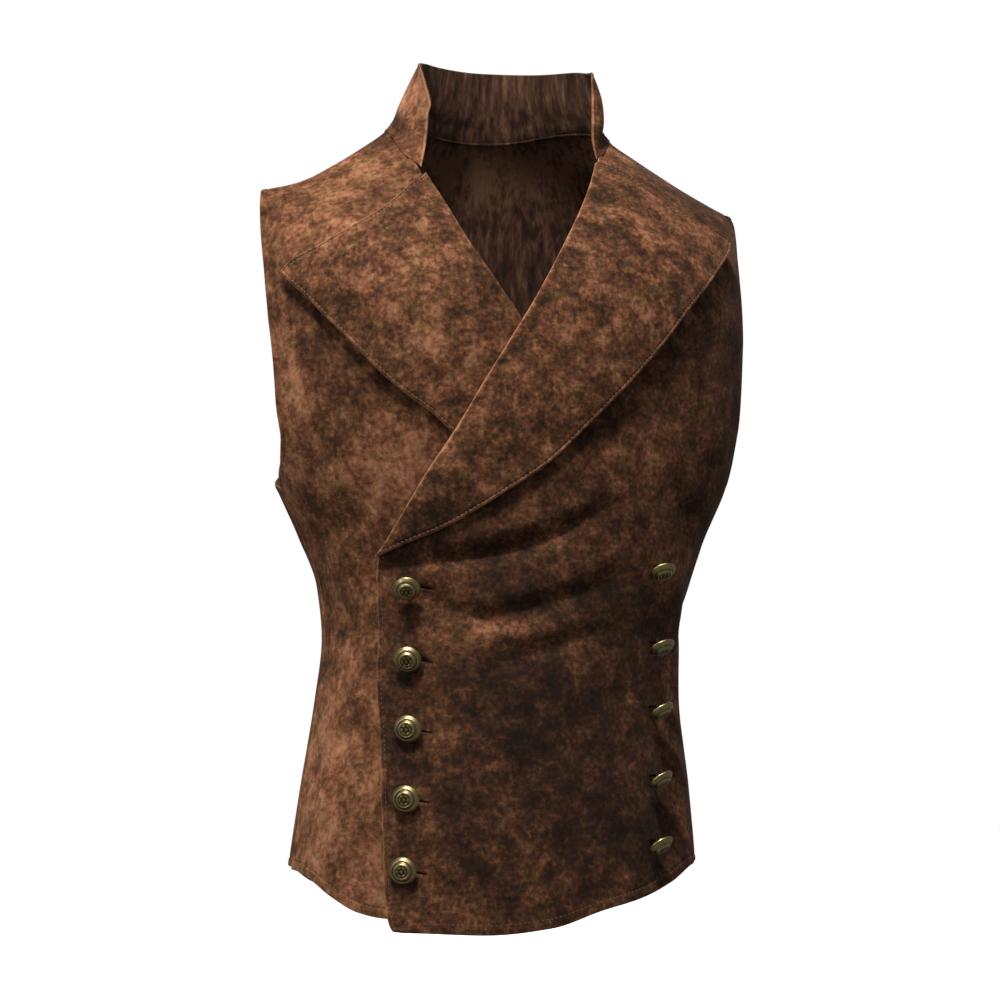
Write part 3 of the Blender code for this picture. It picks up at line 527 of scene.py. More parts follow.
SMALL_FRONT_FOLDS = (
    (-0.121, -0.3500, 0.030, -0.3170, -0.0085, 0.0026, 0.0040),
    (-0.084, -0.3350, 0.044, -0.2880, -0.0090, -0.0018, 0.0070),
    (-0.066, -0.3990, 0.030, -0.3920, -0.0085, -0.0016, 0.0055),
    (-0.094, -0.3720, -0.040, -0.3945, -0.0030, 0.0014, 0.0040),
    (-0.044, -0.3950, 0.060, -0.3620, -0.0010, 0.0008, 0.0042),
    (-0.044, -0.4320, 0.060, -0.3990, 0.0020, 0.0013, 0.0042),
    (0.062, -0.2300, 0.014, -0.3140, 0.0000, 0.0022, 0.0080),
    (-0.094, -0.3690, -0.030, -0.3800, 0.0030, 0.0013, 0.0050),
    (-0.088, -0.4240, -0.034, -0.4330, -0.0030, 0.0010, 0.0055),
    (-0.086, -0.4800, -0.028, -0.4700, 0.0040, 0.0009, 0.0060),
    (-0.092, -0.5320, -0.040, -0.5470, 0.0030, 0.0009, 0.0055),
    (-0.060, -0.3930, 0.000, -0.3720, 0.0040, -0.0011, 0.0060),
    (0.010, -0.3760, 0.058, -0.3380, 0.0020, -0.0014, 0.0070),
    (0.018, -0.3280, 0.088, -0.3020, 0.0030, -0.0012, 0.0070),
    (0.020, -0.4200, 0.086, -0.4010, -0.0040, 0.0013, 0.0060),
    (0.030, -0.4560, 0.088, -0.4500, 0.0030, 0.0012, 0.0060),
    (0.040, -0.5000, 0.084, -0.5090, 0.0020, 0.0010, 0.0060),
    (0.024, -0.5680, 0.080, -0.5590, 0.0040, 0.0011, 0.0070),
    (0.054, -0.2530, 0.090, -0.3150, 0.0050, 0.0018, 0.0080),
    (0.120, -0.2300, 0.146, -0.3000, 0.0060, 0.0014, 0.0090),
    (0.166, -0.1500, 0.176, -0.2600, 0.0060, 0.0016, 0.0090),
    (0.150, -0.2800, 0.134, -0.3700, -0.0040, -0.0013, 0.0080),
    (-0.020, -0.5300, 0.030, -0.5900, 0.0060, 0.0010, 0.0090),
    (-0.070, -0.6050, -0.060, -0.5500, 0.0030, 0.0009, 0.0080),
    (0.010, -0.6000, 0.022, -0.5350, 0.0030, 0.0011, 0.0090),
    (-0.128, -0.3700, -0.146, -0.4400, 0.0040, 0.0013, 0.0060),
    (-0.134, -0.4500, -0.126, -0.5200, 0.0030, 0.0011, 0.0070),
    (-0.150, -0.4700, -0.158, -0.5500, 0.0040, -0.0010, 0.0070),
    (-0.130, -0.5500, -0.144, -0.6000, 0.0020, 0.0010, 0.0070),
    (-0.140, -0.3050, -0.126, -0.3500, 0.0020, 0.0012, 0.0070),
    (-0.168, -0.1900, -0.160, -0.2850, 0.0050, 0.0020, 0.0100),
    (-0.184, -0.1700, -0.180, -0.2600, 0.0030, -0.0012, 0.0070),
    (-0.128, -0.2500, -0.104, -0.3000, 0.0030, 0.0011, 0.0080),
)
SMALL_BACK_FOLDS = (
    (-0.110, -0.3700, -0.030, -0.3980, -0.0050, -0.0014, 0.0070),
    (0.106, -0.3860, 0.030, -0.4000, 0.0050, -0.0014, 0.0070),
    (-0.094, -0.4500, -0.030, -0.4400, 0.0030, 0.0012, 0.0060),
    (0.090, -0.4650, 0.036, -0.4420, 0.0030, 0.0012, 0.0070),
    (-0.030, -0.3300, 0.050, -0.3500, 0.0040, 0.0011, 0.0080),
    (0.100, -0.3250, 0.036, -0.3500, 0.0030, 0.0012, 0.0070),
    (-0.112, -0.3150, -0.060, -0.3420, -0.0030, 0.0012, 0.0070),
    (-0.124, -0.1400, -0.060, -0.1850, 0.0060, 0.0015, 0.0100),
    (0.120, -0.1300, 0.066, -0.1800, -0.0060, 0.0014, 0.0100),
    (-0.050, -0.0600, 0.030, -0.0700, -0.0060, 0.0010, 0.0090),
    (-0.110, -0.5750, -0.102, -0.4900, 0.0030, 0.0012, 0.0080),
    (0.036, -0.5800, 0.030, -0.5100, 0.0030, 0.0011, 0.0080),
    (0.112, -0.5750, 0.118, -0.5000, 0.0030, 0.0012, 0.0080),
    (-0.024, -0.5850, -0.030, -0.5200, 0.0030, 0.0010, 0.0080),
)
FRONT_FOLDS = LARGE_FRONT_FOLDS + SMALL_FRONT_FOLDS
BACK_FOLDS = LARGE_BACK_FOLDS + SMALL_BACK_FOLDS

# Soft upright folds in the collar: where along it, how wide, how deep
COLLAR_FOLD_COLUMNS = ("along", "half_width", "depth")
COLLAR_FOLDS = (
    (-0.90, 0.020, 0.0009),
    (-0.78, 0.026, 0.0016),
    (-0.66, 0.024, -0.0010),
    (-0.55, 0.030, 0.0014),
    (-0.30, 0.040, 0.0010),
    (0.06, 0.050, 0.0009),
    (0.34, 0.036, 0.0010),
    (0.62, 0.030, 0.0012),
    (0.84, 0.022, 0.0010),
)

# Gentle waves of a lapel's free part: how far up it each one is, how long and how high
LAPEL_WAVE_COLUMNS = ("up", "half_length", "height")
LEFT_LAPEL_WAVES = (
    (0.24, 0.06, 0.0008),
    (0.43, 0.08, -0.0007),
    (0.66, 0.08, 0.0010),
    (0.86, 0.06, -0.0006),
)
RIGHT_LAPEL_WAVES = (
    (0.52, 0.06, -0.0006),
    (0.68, 0.07, 0.0008),
    (0.86, 0.06, -0.0007),
)

# Buttons as (x, z) of their middle, and how far each leans down and to the wearer's right
FASTENED_BUTTONS = (
    (-0.0974, -0.3690, 34, -6),
    (-0.0968, -0.4245, 27, -4),
    (-0.0988, -0.4775, 17, 2),
    (-0.1020, -0.5300, 16, 4),
    (-0.1056, -0.5830, 14, 2),
)
LOOSE_BUTTONS = (
    (0.0912, -0.3510, 50, 6),
    (0.0920, -0.4115, 58, 2),
    (0.0905, -0.4625, 60, -6),
    (0.0870, -0.5165, 60, -8),
    (0.0840, -0.5660, 60, -8),
)


def smoothstep(low, high, value):
    s = np.clip((value - low) / (high - low), 0.0, 1.0)
    return s * s * (3 - 2 * s)


def mix(a, b, share):
    return a + (b - a) * share


def bump(value, middle, half_width):
    return np.exp(-(((value - middle) / half_width) ** 2))


def unit(vectors):
    """Vectors brought to a length of 1."""
    return vectors / np.maximum(np.linalg.norm(vectors, axis=-1, keepdims=True), TINY)


def run_along(path):
    """How far along a path each of its points lies."""
    steps = np.linalg.norm(np.diff(path, axis=0), axis=-1)
    return np.concatenate([[0.0], np.cumsum(steps)])


def read_line(samples, keys, line):
    """Places on a line of points, one for each key, read at the samples."""
    return np.stack([np.interp(samples, keys, line[:, i]) for i in range(3)], axis=-1)


def round_circle(count):
    """Angles evenly spaced round a circle."""
    return np.arange(count) / count * 2 * math.pi


def tube_faces(first, rings, sides):
    """The faces of a closed tube, between its rings of points and over both its ends."""
    faces = []
    for i in range(rings - 1):
        for k in range(sides):
            a, b = first + i * sides + k, first + i * sides + (k + 1) % sides
            faces.append((a, b, b + sides, a + sides))
    near = tuple(first + k for k in range(sides))
    far = tuple(first + (rings - 1) * sides + k for k in range(sides))
    return faces + [near[::-1], far]


def rows_of(table, columns):
    """The rows of a short table, each with its columns by name."""
    return [dict(zip(columns, row)) for row in table]


# Places on the body
def half_width_at(left, z):
    level = np.minimum(z, CHEST_Z)
    return np.where(left, TORSO.at(level, "left"), TORSO.at(level, "right"))


def x_at(t, z):
    half_width = half_width_at(t > 0, z)
    return half_width * np.sign(t) * np.abs(np.sin(t * math.pi / 2)) ** (2 / SQUARENESS)


def t_at(x, z):
    share = np.clip(np.abs(x) / half_width_at(x > 0, z), 0.0, 1.0)
    return np.sign(x) * np.arcsin(share ** (SQUARENESS / 2)) * 2 / math.pi


def fold_depth(folds, x, z):
    """How far the folds push the cloth in at each place."""
    depth = np.zeros_like(x)
    for fold in rows_of(folds, FOLD_COLUMNS):
        run_x = fold["x_end"] - fold["x_start"]
        run_z = fold["z_end"] - fold["z_start"]
        length = math.hypot(run_x, run_z)
        from_x, from_z = x - fold["x_start"], z - fold["z_start"]
        along_it = (from_x * run_x + from_z * run_z) / length**2
        across = (from_z * run_x - from_x * run_z) / length
        inside = np.clip(along_it, 0.0, 1.0)
        taper = (4 * inside * (1 - inside)) ** FOLD_TAPER
        off_line = across - fold["bow"] * 4 * inside * (1 - inside)
        depth += fold["depth"] * taper * np.exp(-((off_line / fold["half_width"]) ** 2))
    return depth


def ring_place(side, t, z):
    """The body's own surface, without folds. Side is "front" or "back"."""
    level = np.minimum(z, CHEST_Z)
    x = x_at(t, z)
    side_y = TORSO.at(level, "side_y")
    reach = -TORSO.at(level, "front") if side == "front" else TORSO.at(level, "back")
    y = side_y + (reach - side_y) * np.abs(np.cos(t * math.pi / 2)) ** (2 / SQUARENESS)
    top = SHOULDER.at(x, side + "_top")
    rise = np.clip((z - CHEST_Z) / (top - CHEST_Z), 0.0, 1.0)
    fall = FALL.at(np.abs(x), side)
    y = np.where(z > CHEST_Z, SHOULDER_SEAM_Y + (y - SHOULDER_SEAM_Y) * (1 - rise**2) ** fall, y)
    return np.stack([x, y, z], axis=-1)


def ring_normal(side, t, z):
    """The outward direction of the body at each place."""
    step_t, step_z = 0.004, 0.001
    top = SHOULDER.at(x_at(t, z), side + "_top")
    high = np.minimum(z + step_z, np.maximum(top, z - step_z / 2))
    low_t = np.maximum(t - step_t, -1.0)
    high_t = np.minimum(t + step_t, 1.0)
    round_way = ring_place(side, high_t, z) - ring_place(side, low_t, z)
    up_way = ring_place(side, t, high) - ring_place(side, t, z - step_z)
    return unit(np.cross(round_way, up_way) if side == "front" else np.cross(up_way, round_way))


def cloth_place(side, t, z, out, folds=None):
    """A place on the body with its folds, moved outward by out."""
    place = ring_place(side, t, z)
    if folds is None:
        folds = FRONT_FOLDS if side == "front" else BACK_FOLDS
    # Folds die away at the side seams and the shoulders, where the panels meet
    inward = fold_depth(folds, place[..., 0], z)
    inward = inward * smoothstep(0.0, FOLD_FADE_T, 1 - np.abs(t))
    inward = inward * smoothstep(0.0, FOLD_FADE_Z, FOLD_FREE_Z - z)
    return place + ring_normal(side, t, z) * (out - inward)[..., None]


# Levels run from 0 at the hem, through 1 at the waist and 2 at the chest, to 3 at the shoulder
def height_of(level, t, panel):
    side = "back" if panel == "back" else "front"
    hem = HEM.at(x_at(t, HEM.at(x_at(t, WAIST_Z), panel)), panel)
    top = SHOULDER.at(x_at(t, CHEST_Z), side + "_top")
    z = np.where(level < 1, mix(hem, WAIST_Z, level), mix(WAIST_Z, CHEST_Z, level - 1))
    roll = np.sin(np.clip(level - 2, 0.0, 1.0) * math.pi / 2)
    return np.where(level > 2, mix(CHEST_Z, top, roll), z)


def level_of(x, z, panel):
    """The level of a place given by x and z."""
    t = t_at(x, z)
    side = "back" if panel == "back" else "front"
    hem = HEM.at(x, panel)
    top = SHOULDER.at(x, side + "_top")
    roll = np.arcsin(np.clip((z - CHEST_Z) / (top - CHEST_Z), 0.0, 1.0)) * 2 / math.pi
    low = np.clip((z - hem) / (WAIST_Z - hem), 0.0, 1.0)
    level = np.where(z < WAIST_Z, low, 1 + (z - WAIST_Z) / (CHEST_Z - WAIST_Z))
    return t, np.where(z > CHEST_Z, 2 + roll, level)


def edge_by_level(stretches, panel):
    """Where an edge made of (x, z) stretches runs: its levels, and t at each of them."""
    levels, places = [], []
    for stretch in stretches:
        points = np.array(stretch)
        t, level = level_of(points[:, 0], points[:, 1], panel)
        level = np.maximum.accumulate(level + TINY * np.arange(len(level)))
        samples = np.linspace(level[0], level[-1], CURVE_SAMPLES)
        levels.append(samples)
        places.append(smooth_through(level, t, samples))
    return np.concatenate(levels), np.concatenate(places)


RIGHT_EDGE_LINE = edge_by_level((RIGHT_FRONT_EDGE, RIGHT_ROLL, RIGHT_NECKLINE), "front_right")
LEFT_EDGE_LINE = edge_by_level((LEFT_FRONT_EDGE, LEFT_ROLL, LEFT_NECKLINE), "front_left")


def overlap_out(t, z):
    """How far the left front is held off the body by the right front beneath it."""
    _, level = level_of(x_at(t, z), z, "front_right")
    past = t - np.interp(level, *RIGHT_EDGE_LINE)
    return OVERLAP_LIFT * smoothstep(OVERLAP_FADE_T, OVERLAP_MARGIN_T, past)


def past_left_edge(t, z):
    """How far round a place is beyond the left front's own edge, roll line and neckline."""
    _, level = level_of(x_at(t, z), z, "front_left")
    return t - np.interp(level, *LEFT_EDGE_LINE)


def covered_out(t, z):
    """The right front sinks a little where the left front covers it."""
    return -COVERED_TUCK * smoothstep(TUCK_FROM_T, TUCK_TO_T, past_left_edge(t, z))


def neckline_level(x):
    """The level of the back's top edge: the shoulder seam, or the neckline between the seams."""
    middle = math.asin((BACK_NECK_Z - CHEST_Z) / (SHOULDER.at(0.0, "back_top") - CHEST_Z))
    middle_level = 2 + middle * 2 / math.pi
    dip = np.clip(1 - (x / NECK_X) ** 2, 0.0, 1.0) ** NECK_DIP_POWER
    return 3 - (3 - middle_level) * dip


def along(points, share):
    """Places along a run of (x, z) points, evenly spaced by length."""
    points = np.array(points)
    run = run_along(points)
    return np.stack([smooth_through(run, points[:, i], share * run[-1]) for i in (0, 1)], axis=-1)


# Grids: lines lie close together at edges and sewn lines, and evenly spaced between
def edge_lines(sewn):
    """Distances from an edge for its round rim, and for a sewn line where there is one."""
    if not sewn:
        return np.array(RIM_LINES + BARE_LINES)
    seam = [sewn + distance for distance in SEWN_LINES]
    lead = np.arange(LEAD_START, seam[0] - LEAD_STOP, LEAD_STEP)
    return np.array([*RIM_LINES, *lead, *(line for line in seam if line > RIM_LINES[-1] + LINE_SPACE)])


def shares_along(lengths, sewn_start, sewn_end, count):
    """Shares of each length where its grid lines lie."""
    near, far = edge_lines(sewn_start), edge_lines(sewn_end)
    fit = np.minimum(1.0, lengths / (EVEN_SHARE * (near[-1] + far[-1])))
    start = near[:, None] * fit
    end = lengths - far[::-1, None] * fit
    steps = np.linspace(0.0, 1.0, count + 2)[1:-1, None]
    return np.concatenate([start, mix(start[-1], end[0], steps), end]) / lengths


def by_length(paths, wanted):
    """Parameters at the wanted shares of length of each path."""
    runs = np.array([run_along(path) for path in paths])
    parameters = np.linspace(0.0, 1.0, runs.shape[1])
    spots = (wanted(runs[:, -1]) * runs[:, -1]).T
    return np.stack([np.interp(spot, run, parameters) for spot, run in zip(spots, runs)])


def fitted_grid(place, grid, sewn):
    """A grid on place(across, up) whose lines keep real distances from the edges."""
    columns, rows = grid
    samples = np.linspace(0.0, 1.0, PATH_SAMPLES)

    def shares_across(lengths):
        return shares_along(lengths, sewn["start"], sewn["end"], columns)

    def shares_up(lengths):
        return shares_along(lengths, sewn["bottom"], sewn["top"], rows)

    def spread(values):
        return np.tile(values[:, None], (1, PATH_SAMPLES))

    up_line = place(np.full(PATH_SAMPLES, 0.5)[None], samples[None])
    ups = by_length(up_line, shares_up)[0]
    across = by_length(place(np.tile(samples, (len(ups), 1)), spread(ups)), shares_across)
    mean_across = across.mean(axis=0)
    paths_up = place(spread(mean_across), np.tile(samples, (len(mean_across), 1)))
    up = by_length(paths_up, shares_up).T
    return across, up, place(across, up)


def grid_normals(places, outward):
    normal = unit(np.cross(np.gradient(places, axis=1), np.gradient(places, axis=0)))
    return normal * np.sign((normal * outward).sum(axis=-1).mean())


def tree_of(points):
    tree = KDTree(len(points))
    for i, point in enumerate(points):
        tree.insert(point, i)
    tree.balance()
    return tree


def finer(line, parts):
    """More points along a line."""
    samples = np.linspace(0.0, len(line) - 1.0, (len(line) - 1) * parts + 1)
    return read_line(samples, np.arange(len(line)), line)


def distances(line, points):
    """How far each point is from a line."""
    tree = tree_of(finer(line, FINER_EDGE))
    found = [tree.find(point)[2] for point in points.reshape(-1, 3)]
    return np.array(found).reshape(points.shape[:-1])


def line_of(grid, side, inside=0):
    """The line on one side of a grid, or so many lines inside it."""
    index = inside if side in ("start", "bottom") else -1 - inside
    return grid[:, index] if side in ("start", "end") else grid[index]


def new_object(name, points, faces, materials, smooth=True):
    mesh = bpy.data.meshes.new(name)
    mesh.from_pydata(points, [], faces)
    for material in materials:
        mesh.materials.append(material)
    if smooth:
        mesh.shade_smooth()
    obj = bpy.data.objects.new(name, mesh)
    bpy.context.scene.collection.objects.link(obj)
    return obj


def store(mesh, name, values):
    """Keeps a value for each point of a mesh, for its material to read."""
    attribute = mesh.attributes.new(name, "FLOAT", "POINT")
    attribute.data.foreach_set("value", values.astype(np.float32))


def shell(name, places, outward, thickness, sewn, free, materials, inner_rows=0):
    """A closed sheet round the middle surface, with a rounded rim and sunk sewn lines.

    The last inner_rows of its outer face have the inner face's material too.
    """
    rows, columns = places.shape[:2]
    normal = grid_normals(places, outward)
    gaps = {side: distances(line_of(places, side), places) for side in SIDES}
    nearest = np.minimum.reduce(list(gaps.values()))
    rim = np.clip(nearest / RIM_ROUND, 0.0, 1.0)
    fullness = np.sqrt(np.maximum(1 - (1 - rim) ** 2, 0.0))
    relief = np.zeros_like(nearest)
    for side, sewn_at in sewn.items():
        if sewn_at:
            relief -= GROOVE_DEPTH * bump(gaps[side], sewn_at, GROOVE_WIDTH)
            inside = np.clip(gaps[side] / sewn_at, 0.0, 1.0)
            relief += EDGE_PUFF * np.sin(inside * math.pi) * fullness
    half = thickness / 2 * fullness
    outer = places + normal * (half + relief * fullness)[..., None]
    inner = places - normal * half[..., None]

    # The two faces share the points of the rim
    count = rows * columns
    top_ids = np.arange(count).reshape(rows, columns)
    under_ids = top_ids.copy()
    within = (slice(1, -1), slice(1, -1))
    under_ids[within] = count + np.arange((rows - 2) * (columns - 2)).reshape(rows - 2, columns - 2)
    points = np.concatenate([outer.reshape(-1, 3), inner[within].reshape(-1, 3)])

    def quads(ids):
        corners = (ids[:-1, :-1], ids[:-1, 1:], ids[1:, 1:], ids[1:, :-1])
        return np.stack(corners, axis=-1).reshape(-1, 4)

    top_faces, under_faces = quads(top_ids), quads(under_ids)[:, ::-1]
    way = np.cross(places[0, 1] - places[0, 0], places[1, 0] - places[0, 0])
    if way @ normal[0, 0] < 0:
        top_faces, under_faces = top_faces[:, ::-1], under_faces[:, ::-1]
    faces = np.concatenate([top_faces, under_faces])
    obj = new_object(name, points.tolist(), faces.tolist(), materials)
    face_material = np.zeros(len(faces), np.int32)
    face_material[len(top_faces) - inner_rows * (columns - 1) :] = len(materials) - 1
    obj.data.polygons.foreach_set("material_index", face_material)
    obj.data.update()
    return {
        "object": obj,
        "places": places,
        "normal": normal,
        "edges": [line_of(places, side) for side in free],
        "seams": [line_of(places, side) for side in SIDES if side not in free],
        "sewn": sewn,
    }


# Soft lighter or darker patches, as x, z, half sizes and amount. They are partly the nap's own lightness
# and partly painted light and painted shade, set where the cloth should look more lit or more shaded
# than the lamps make it
PATCH_COLUMNS = ("x", "z", "half_x", "half_z", "amount")
RIGHT_PATCHES = (
    (-0.160, -0.330, 0.030, 0.060, 0.08),
    (-0.150, -0.500, 0.040, 0.120, 0.16),
    (-0.170, -0.080, 0.060, 0.045, 0.10),
    (-0.116, -0.027, 0.025, 0.014, 0.12),
    (-0.170, -0.190, 0.014, 0.030, -0.12),
    (-0.183, -0.260, 0.012, 0.060, 0.18),
    (-0.120, -0.262, 0.030, 0.050, 0.20),
    (-0.135, -0.317, 0.014, 0.018, -0.22),
    (-0.132, -0.440, 0.010, 0.060, -0.14),
    (-0.170, -0.560, 0.014, 0.040, 0.14),
)
LEFT_PATCHES = (
    (-0.072, -0.406, 0.034, 0.016, 0.16),
    (-0.027, -0.403, 0.034, 0.016, 0.24),
    (-0.050, -0.440, 0.020, 0.018, 0.12),
    (-0.040, -0.500, 0.055, 0.034, -0.07),
    (0.045, -0.340, 0.060, 0.024, 0.16),
    (0.110, -0.345, 0.024, 0.018, 0.16),
    # Painted light: a lit ridge between the left lapel's edge and the crease below it, where the lapel's
    # shadow falls
    (-0.030, -0.315, 0.050, 0.014, 0.20),
    (0.055, -0.275, 0.050, 0.024, 0.18),
    (0.120, -0.225, 0.050, 0.050, 0.18),
    (0.150, -0.150, 0.040, 0.040, 0.14),
    (0.047, -0.377, 0.028, 0.010, -0.14),
    (0.010, -0.450, 0.036, 0.030, -0.10),
    (0.072, -0.500, 0.040, 0.060, -0.12),
    (-0.005, -0.499, 0.024, 0.024, -0.12),
    (-0.034, -0.565, 0.026, 0.030, 0.12),
    (0.016, -0.594, 0.016, 0.014, -0.12),
    (-0.090, -0.612, 0.040, 0.014, 0.14),
    (0.122, -0.480, 0.012, 0.100, 0.12),
    (0.110, -0.020, 0.060, 0.030, 0.16),
)
LAPEL_RIGHT_PATCHES = (
    (-0.085, -0.178, 0.034, 0.026, 0.16),
    (-0.084, -0.131, 0.026, 0.018, -0.08),
    (-0.060, -0.080, 0.014, 0.030, 0.08),
)
LAPEL_LEFT_PATCHES = (
    (0.029, -0.170, 0.036, 0.050, 0.12),
    (-0.023, -0.249, 0.026, 0.020, -0.08),
    (0.121, -0.083, 0.036, 0.026, 0.08),
    (-0.086, -0.312, 0.026, 0.016, -0.10),
)
# Painted light and painted shade on the inner faces: lighter at the top of the neck opening, where light
# comes in, and darker lower down the back, which the collar and fronts shade
INNER_PAINTED_LIGHT = (
    (0.010, -0.006, 0.120, 0.022, 0.50),
    (0.020, -0.040, 0.120, 0.024, 0.14),
    (0.000, -0.085, 0.060, 0.034, -0.20),
    (0.000, 0.050, 0.120, 0.020, 0.05),
    (0.010, -0.150, 0.100, 0.040, -0.12),
)
# The collar's two dark patches are painted shade where its foot meets the shoulders
COLLAR_PATCHES = (
    (-0.078, 0.035, 0.012, 0.045, 0.32),
    (-0.088, 0.014, 0.006, 0.009, -0.34),
    (0.085, 0.000, 0.020, 0.022, -0.34),
)
BACK_PATCHES = (
    (-0.120, -0.200, 0.040, 0.070, 0.08),
    (0.110, -0.180, 0.045, 0.060, 0.07),
    (0.000, -0.420, 0.090, 0.040, -0.12),
    (-0.060, -0.540, 0.050, 0.040, 0.08),
    (0.080, -0.520, 0.050, 0.050, 0.06),
    (0.000, -0.080, 0.080, 0.040, 0.10),
)


def patches_at(patches, x, z):
    tone_and_painted_light = np.zeros_like(x)
    for patch in rows_of(patches, PATCH_COLUMNS):
        across = (x - patch["x"]) / patch["half_x"]
        up = (z - patch["z"]) / patch["half_z"]
        tone_and_painted_light += patch["amount"] * np.exp(-(across**2) - up**2)
    return tone_and_painted_light


# How each piece is painted: its patches of nap lightness, painted light and painted shade, its wall and
# base lightness, and how far in its pale edge reaches, which is partly wear and partly a painted
# highlight
EDGE_REACH = 0.0012
LAPEL_EDGE_REACH = 0.0007
SEAM_REACH = 0.0020
TONES_AND_PAINTED_LIGHT = {
    "front_right": (RIGHT_PATCHES, PANEL_WALL, 0.01, EDGE_REACH),
    "front_left": (LEFT_PATCHES, PANEL_WALL, 0.0, EDGE_REACH),
    "back": (BACK_PATCHES, PANEL_WALL, 0.0, EDGE_REACH),
    "collar": (COLLAR_PATCHES, COLLAR_WALL, 0.0, EDGE_REACH),
    "lapel_right": (LAPEL_RIGHT_PATCHES, LAPEL_WALL, 0.03, LAPEL_EDGE_REACH),
    "lapel_left": (LAPEL_LEFT_PATCHES, LAPEL_WALL, -0.02, LAPEL_EDGE_REACH),
}


def paint(piece, patches, wall, base, edge_reach):
    """Stores each point's lightness with its painted light and shade, and how near it is to a free edge
    or a seam.
    """
    mesh = piece["object"].data
    points = np.empty(len(mesh.vertices) * 3)
    mesh.vertices.foreach_get("co", points)
    points = points.reshape(-1, 3)

    def nearness(lines, reach):
        if not lines:
            return np.zeros(len(points))
        gap = np.minimum.reduce([distances(line, points) for line in lines])
        gap = np.sqrt(np.maximum(gap**2 - (wall / 2) ** 2, 0.0))
        return np.exp(-gap / reach)

    values = {
        "tone_and_painted_light": base + patches_at(patches, points[:, 0], points[:, 2]),
        "inner_painted_light": patches_at(INNER_PAINTED_LIGHT, points[:, 0], points[:, 2]),
        "edge": nearness(piece["edges"], edge_reach),
        "seam": nearness(piece["seams"], SEAM_REACH),
    }
    for name, value in values.items():
        store(mesh, name, value)


# Materials: what each brightness of the nap looks like, from the darkest to the palest
SUEDE_STOPS = (
    (0.00, (0.0070, 0.0026, 0.0013)),
    (0.28, (0.0240, 0.0088, 0.0040)),
    (0.50, (0.0800, 0.0285, 0.0122)),
    (0.72, (0.2100, 0.0785, 0.0355)),
    (1.00, (0.4650, 0.2120, 0.1200)),
)
OLIVE_STOPS = (
    (0.00, (0.0066, 0.0034, 0.0014)),
    (0.28, (0.0222, 0.0110, 0.0042)),
    (0.50, (0.0740, 0.0355, 0.0125)),
    (0.72, (0.1950, 0.0945, 0.0365)),
    (1.00, (0.4350, 0.2340, 0.1200)),
)
INSIDE_STOPS = (
    (0.05, (0.0120, 0.0055, 0.0031)),
    (0.40, (0.0370, 0.0170, 0.0094)),
    (0.70, (0.0980, 0.0455, 0.0260)),
    (1.00, (0.2000, 0.1000, 0.0580)),
)

# Brass from its bright high places to its dark hollows, and the colours of the threads
BRASS_STOPS = (
    (0.00, (0.460, 0.370, 0.180)),
    (0.35, (0.205, 0.155, 0.068)),
    (0.65, (0.060, 0.044, 0.022)),
    (1.00, (0.014, 0.011, 0.007)),
)
THREAD_BROWN = (0.20, 0.110, 0.070)
THREAD_PALE = (0.42, 0.260, 0.180)
THREAD_DARK_SHARE = 0.55

# The noise behind each kind of mark: its scale, detail and roughness, and its distortion if any
CLOUDS = (17.0, 2.0, 0.5)
MOTTLES = (62.0, 4.0, 0.66)
SPECKS = (260.0, 3.0, 0.62)
STREAKS = (130.0, 3.0, 0.6)
GRAIN = (1000.0, 2.0, 0.6)
HUES = (85.0, 4.0, 0.7)
INSIDE_STREAKS = (230.0, 3.0, 0.62)
INSIDE_BROAD = (60.0, 3.0, 0.6)
INSIDE_GRAIN = (1100.0, 2.0, 0.6)
TWIST = (1600.0, 2.0, 0.6)
STAINS = (420.0, 4.0, 0.65, 0.5)
SCUFFS = (1500.0, 2.0, 0.6)

# Streaks are noise drawn out upwards. Those of the outer face lean by angles, in degrees
UPRIGHT = (0, 0, 0)
NAP_LEAN = (0, 12, 0)
NAP_STRETCH = (1.0, 1.0, 0.22)
INSIDE_STRETCH = (1.0, 1.0, 0.16)
NOISE_MIDDLE = 0.5
HUE_CONTRAST = 4.5
HUE_START = -2.05

# The outer face's looks: how bright it is, then how strongly each kind of mark shows. suede_side, which
# the right front wears, is paler than suede_front partly as painted light, for the lamp from the
# wearer's right; the rest is the nap's own lightness
SUEDE_COLUMNS = ("name", "middle", "cloud", "mottle", "speck", "streak", "edge_wear_and_highlight")
SUEDES = (
    ("suede_front", 0.365, 0.60, 1.05, 0.85, 0.00, 0.45),
    ("suede_side", 0.530, 0.60, 1.00, 0.75, 0.45, 0.30),
    ("suede_lapel", 0.510, 0.50, 1.15, 0.95, 0.00, 0.55),
)


def new_material(name):
    """A material, its nodes and the object's own coordinates."""
    material = bpy.data.materials.new(name)
    material.use_nodes = True
    tree = material.node_tree
    return material, tree, tree.nodes.new("ShaderNodeTexCoord").outputs["Object"]


def plug(tree, socket, value):
    """Sets a socket, or links it where the value is another node's socket."""
    if isinstance(value, bpy.types.NodeSocket):
        tree.links.new(value, socket)
    else:
        socket.default_value = value


def fill(tree, node, **settings):
    """Sets a node. A setting named after a socket, with _ for a space, fills that socket."""
    for key, value in settings.items():
        socket = node.inputs.get(key.replace("_", " "))
        if socket is None:
            setattr(node, key, value)
        else:
            plug(tree, socket, value)
    return node


def add(tree, kind, **settings):
    return fill(tree, tree.nodes.new(kind), **settings)


def noise(tree, vector, scale, detail, roughness, distortion=0.0):
    settings = {"Scale": scale, "Detail": detail, "Roughness": roughness, "Distortion": distortion}
    return add(tree, "ShaderNodeTexNoise", Vector=vector, **settings).outputs["Fac"]


def stored(tree, name):
    """A value that is kept for each point of the mesh."""
    return add(tree, "ShaderNodeAttribute", attribute_name=name).outputs["Fac"]


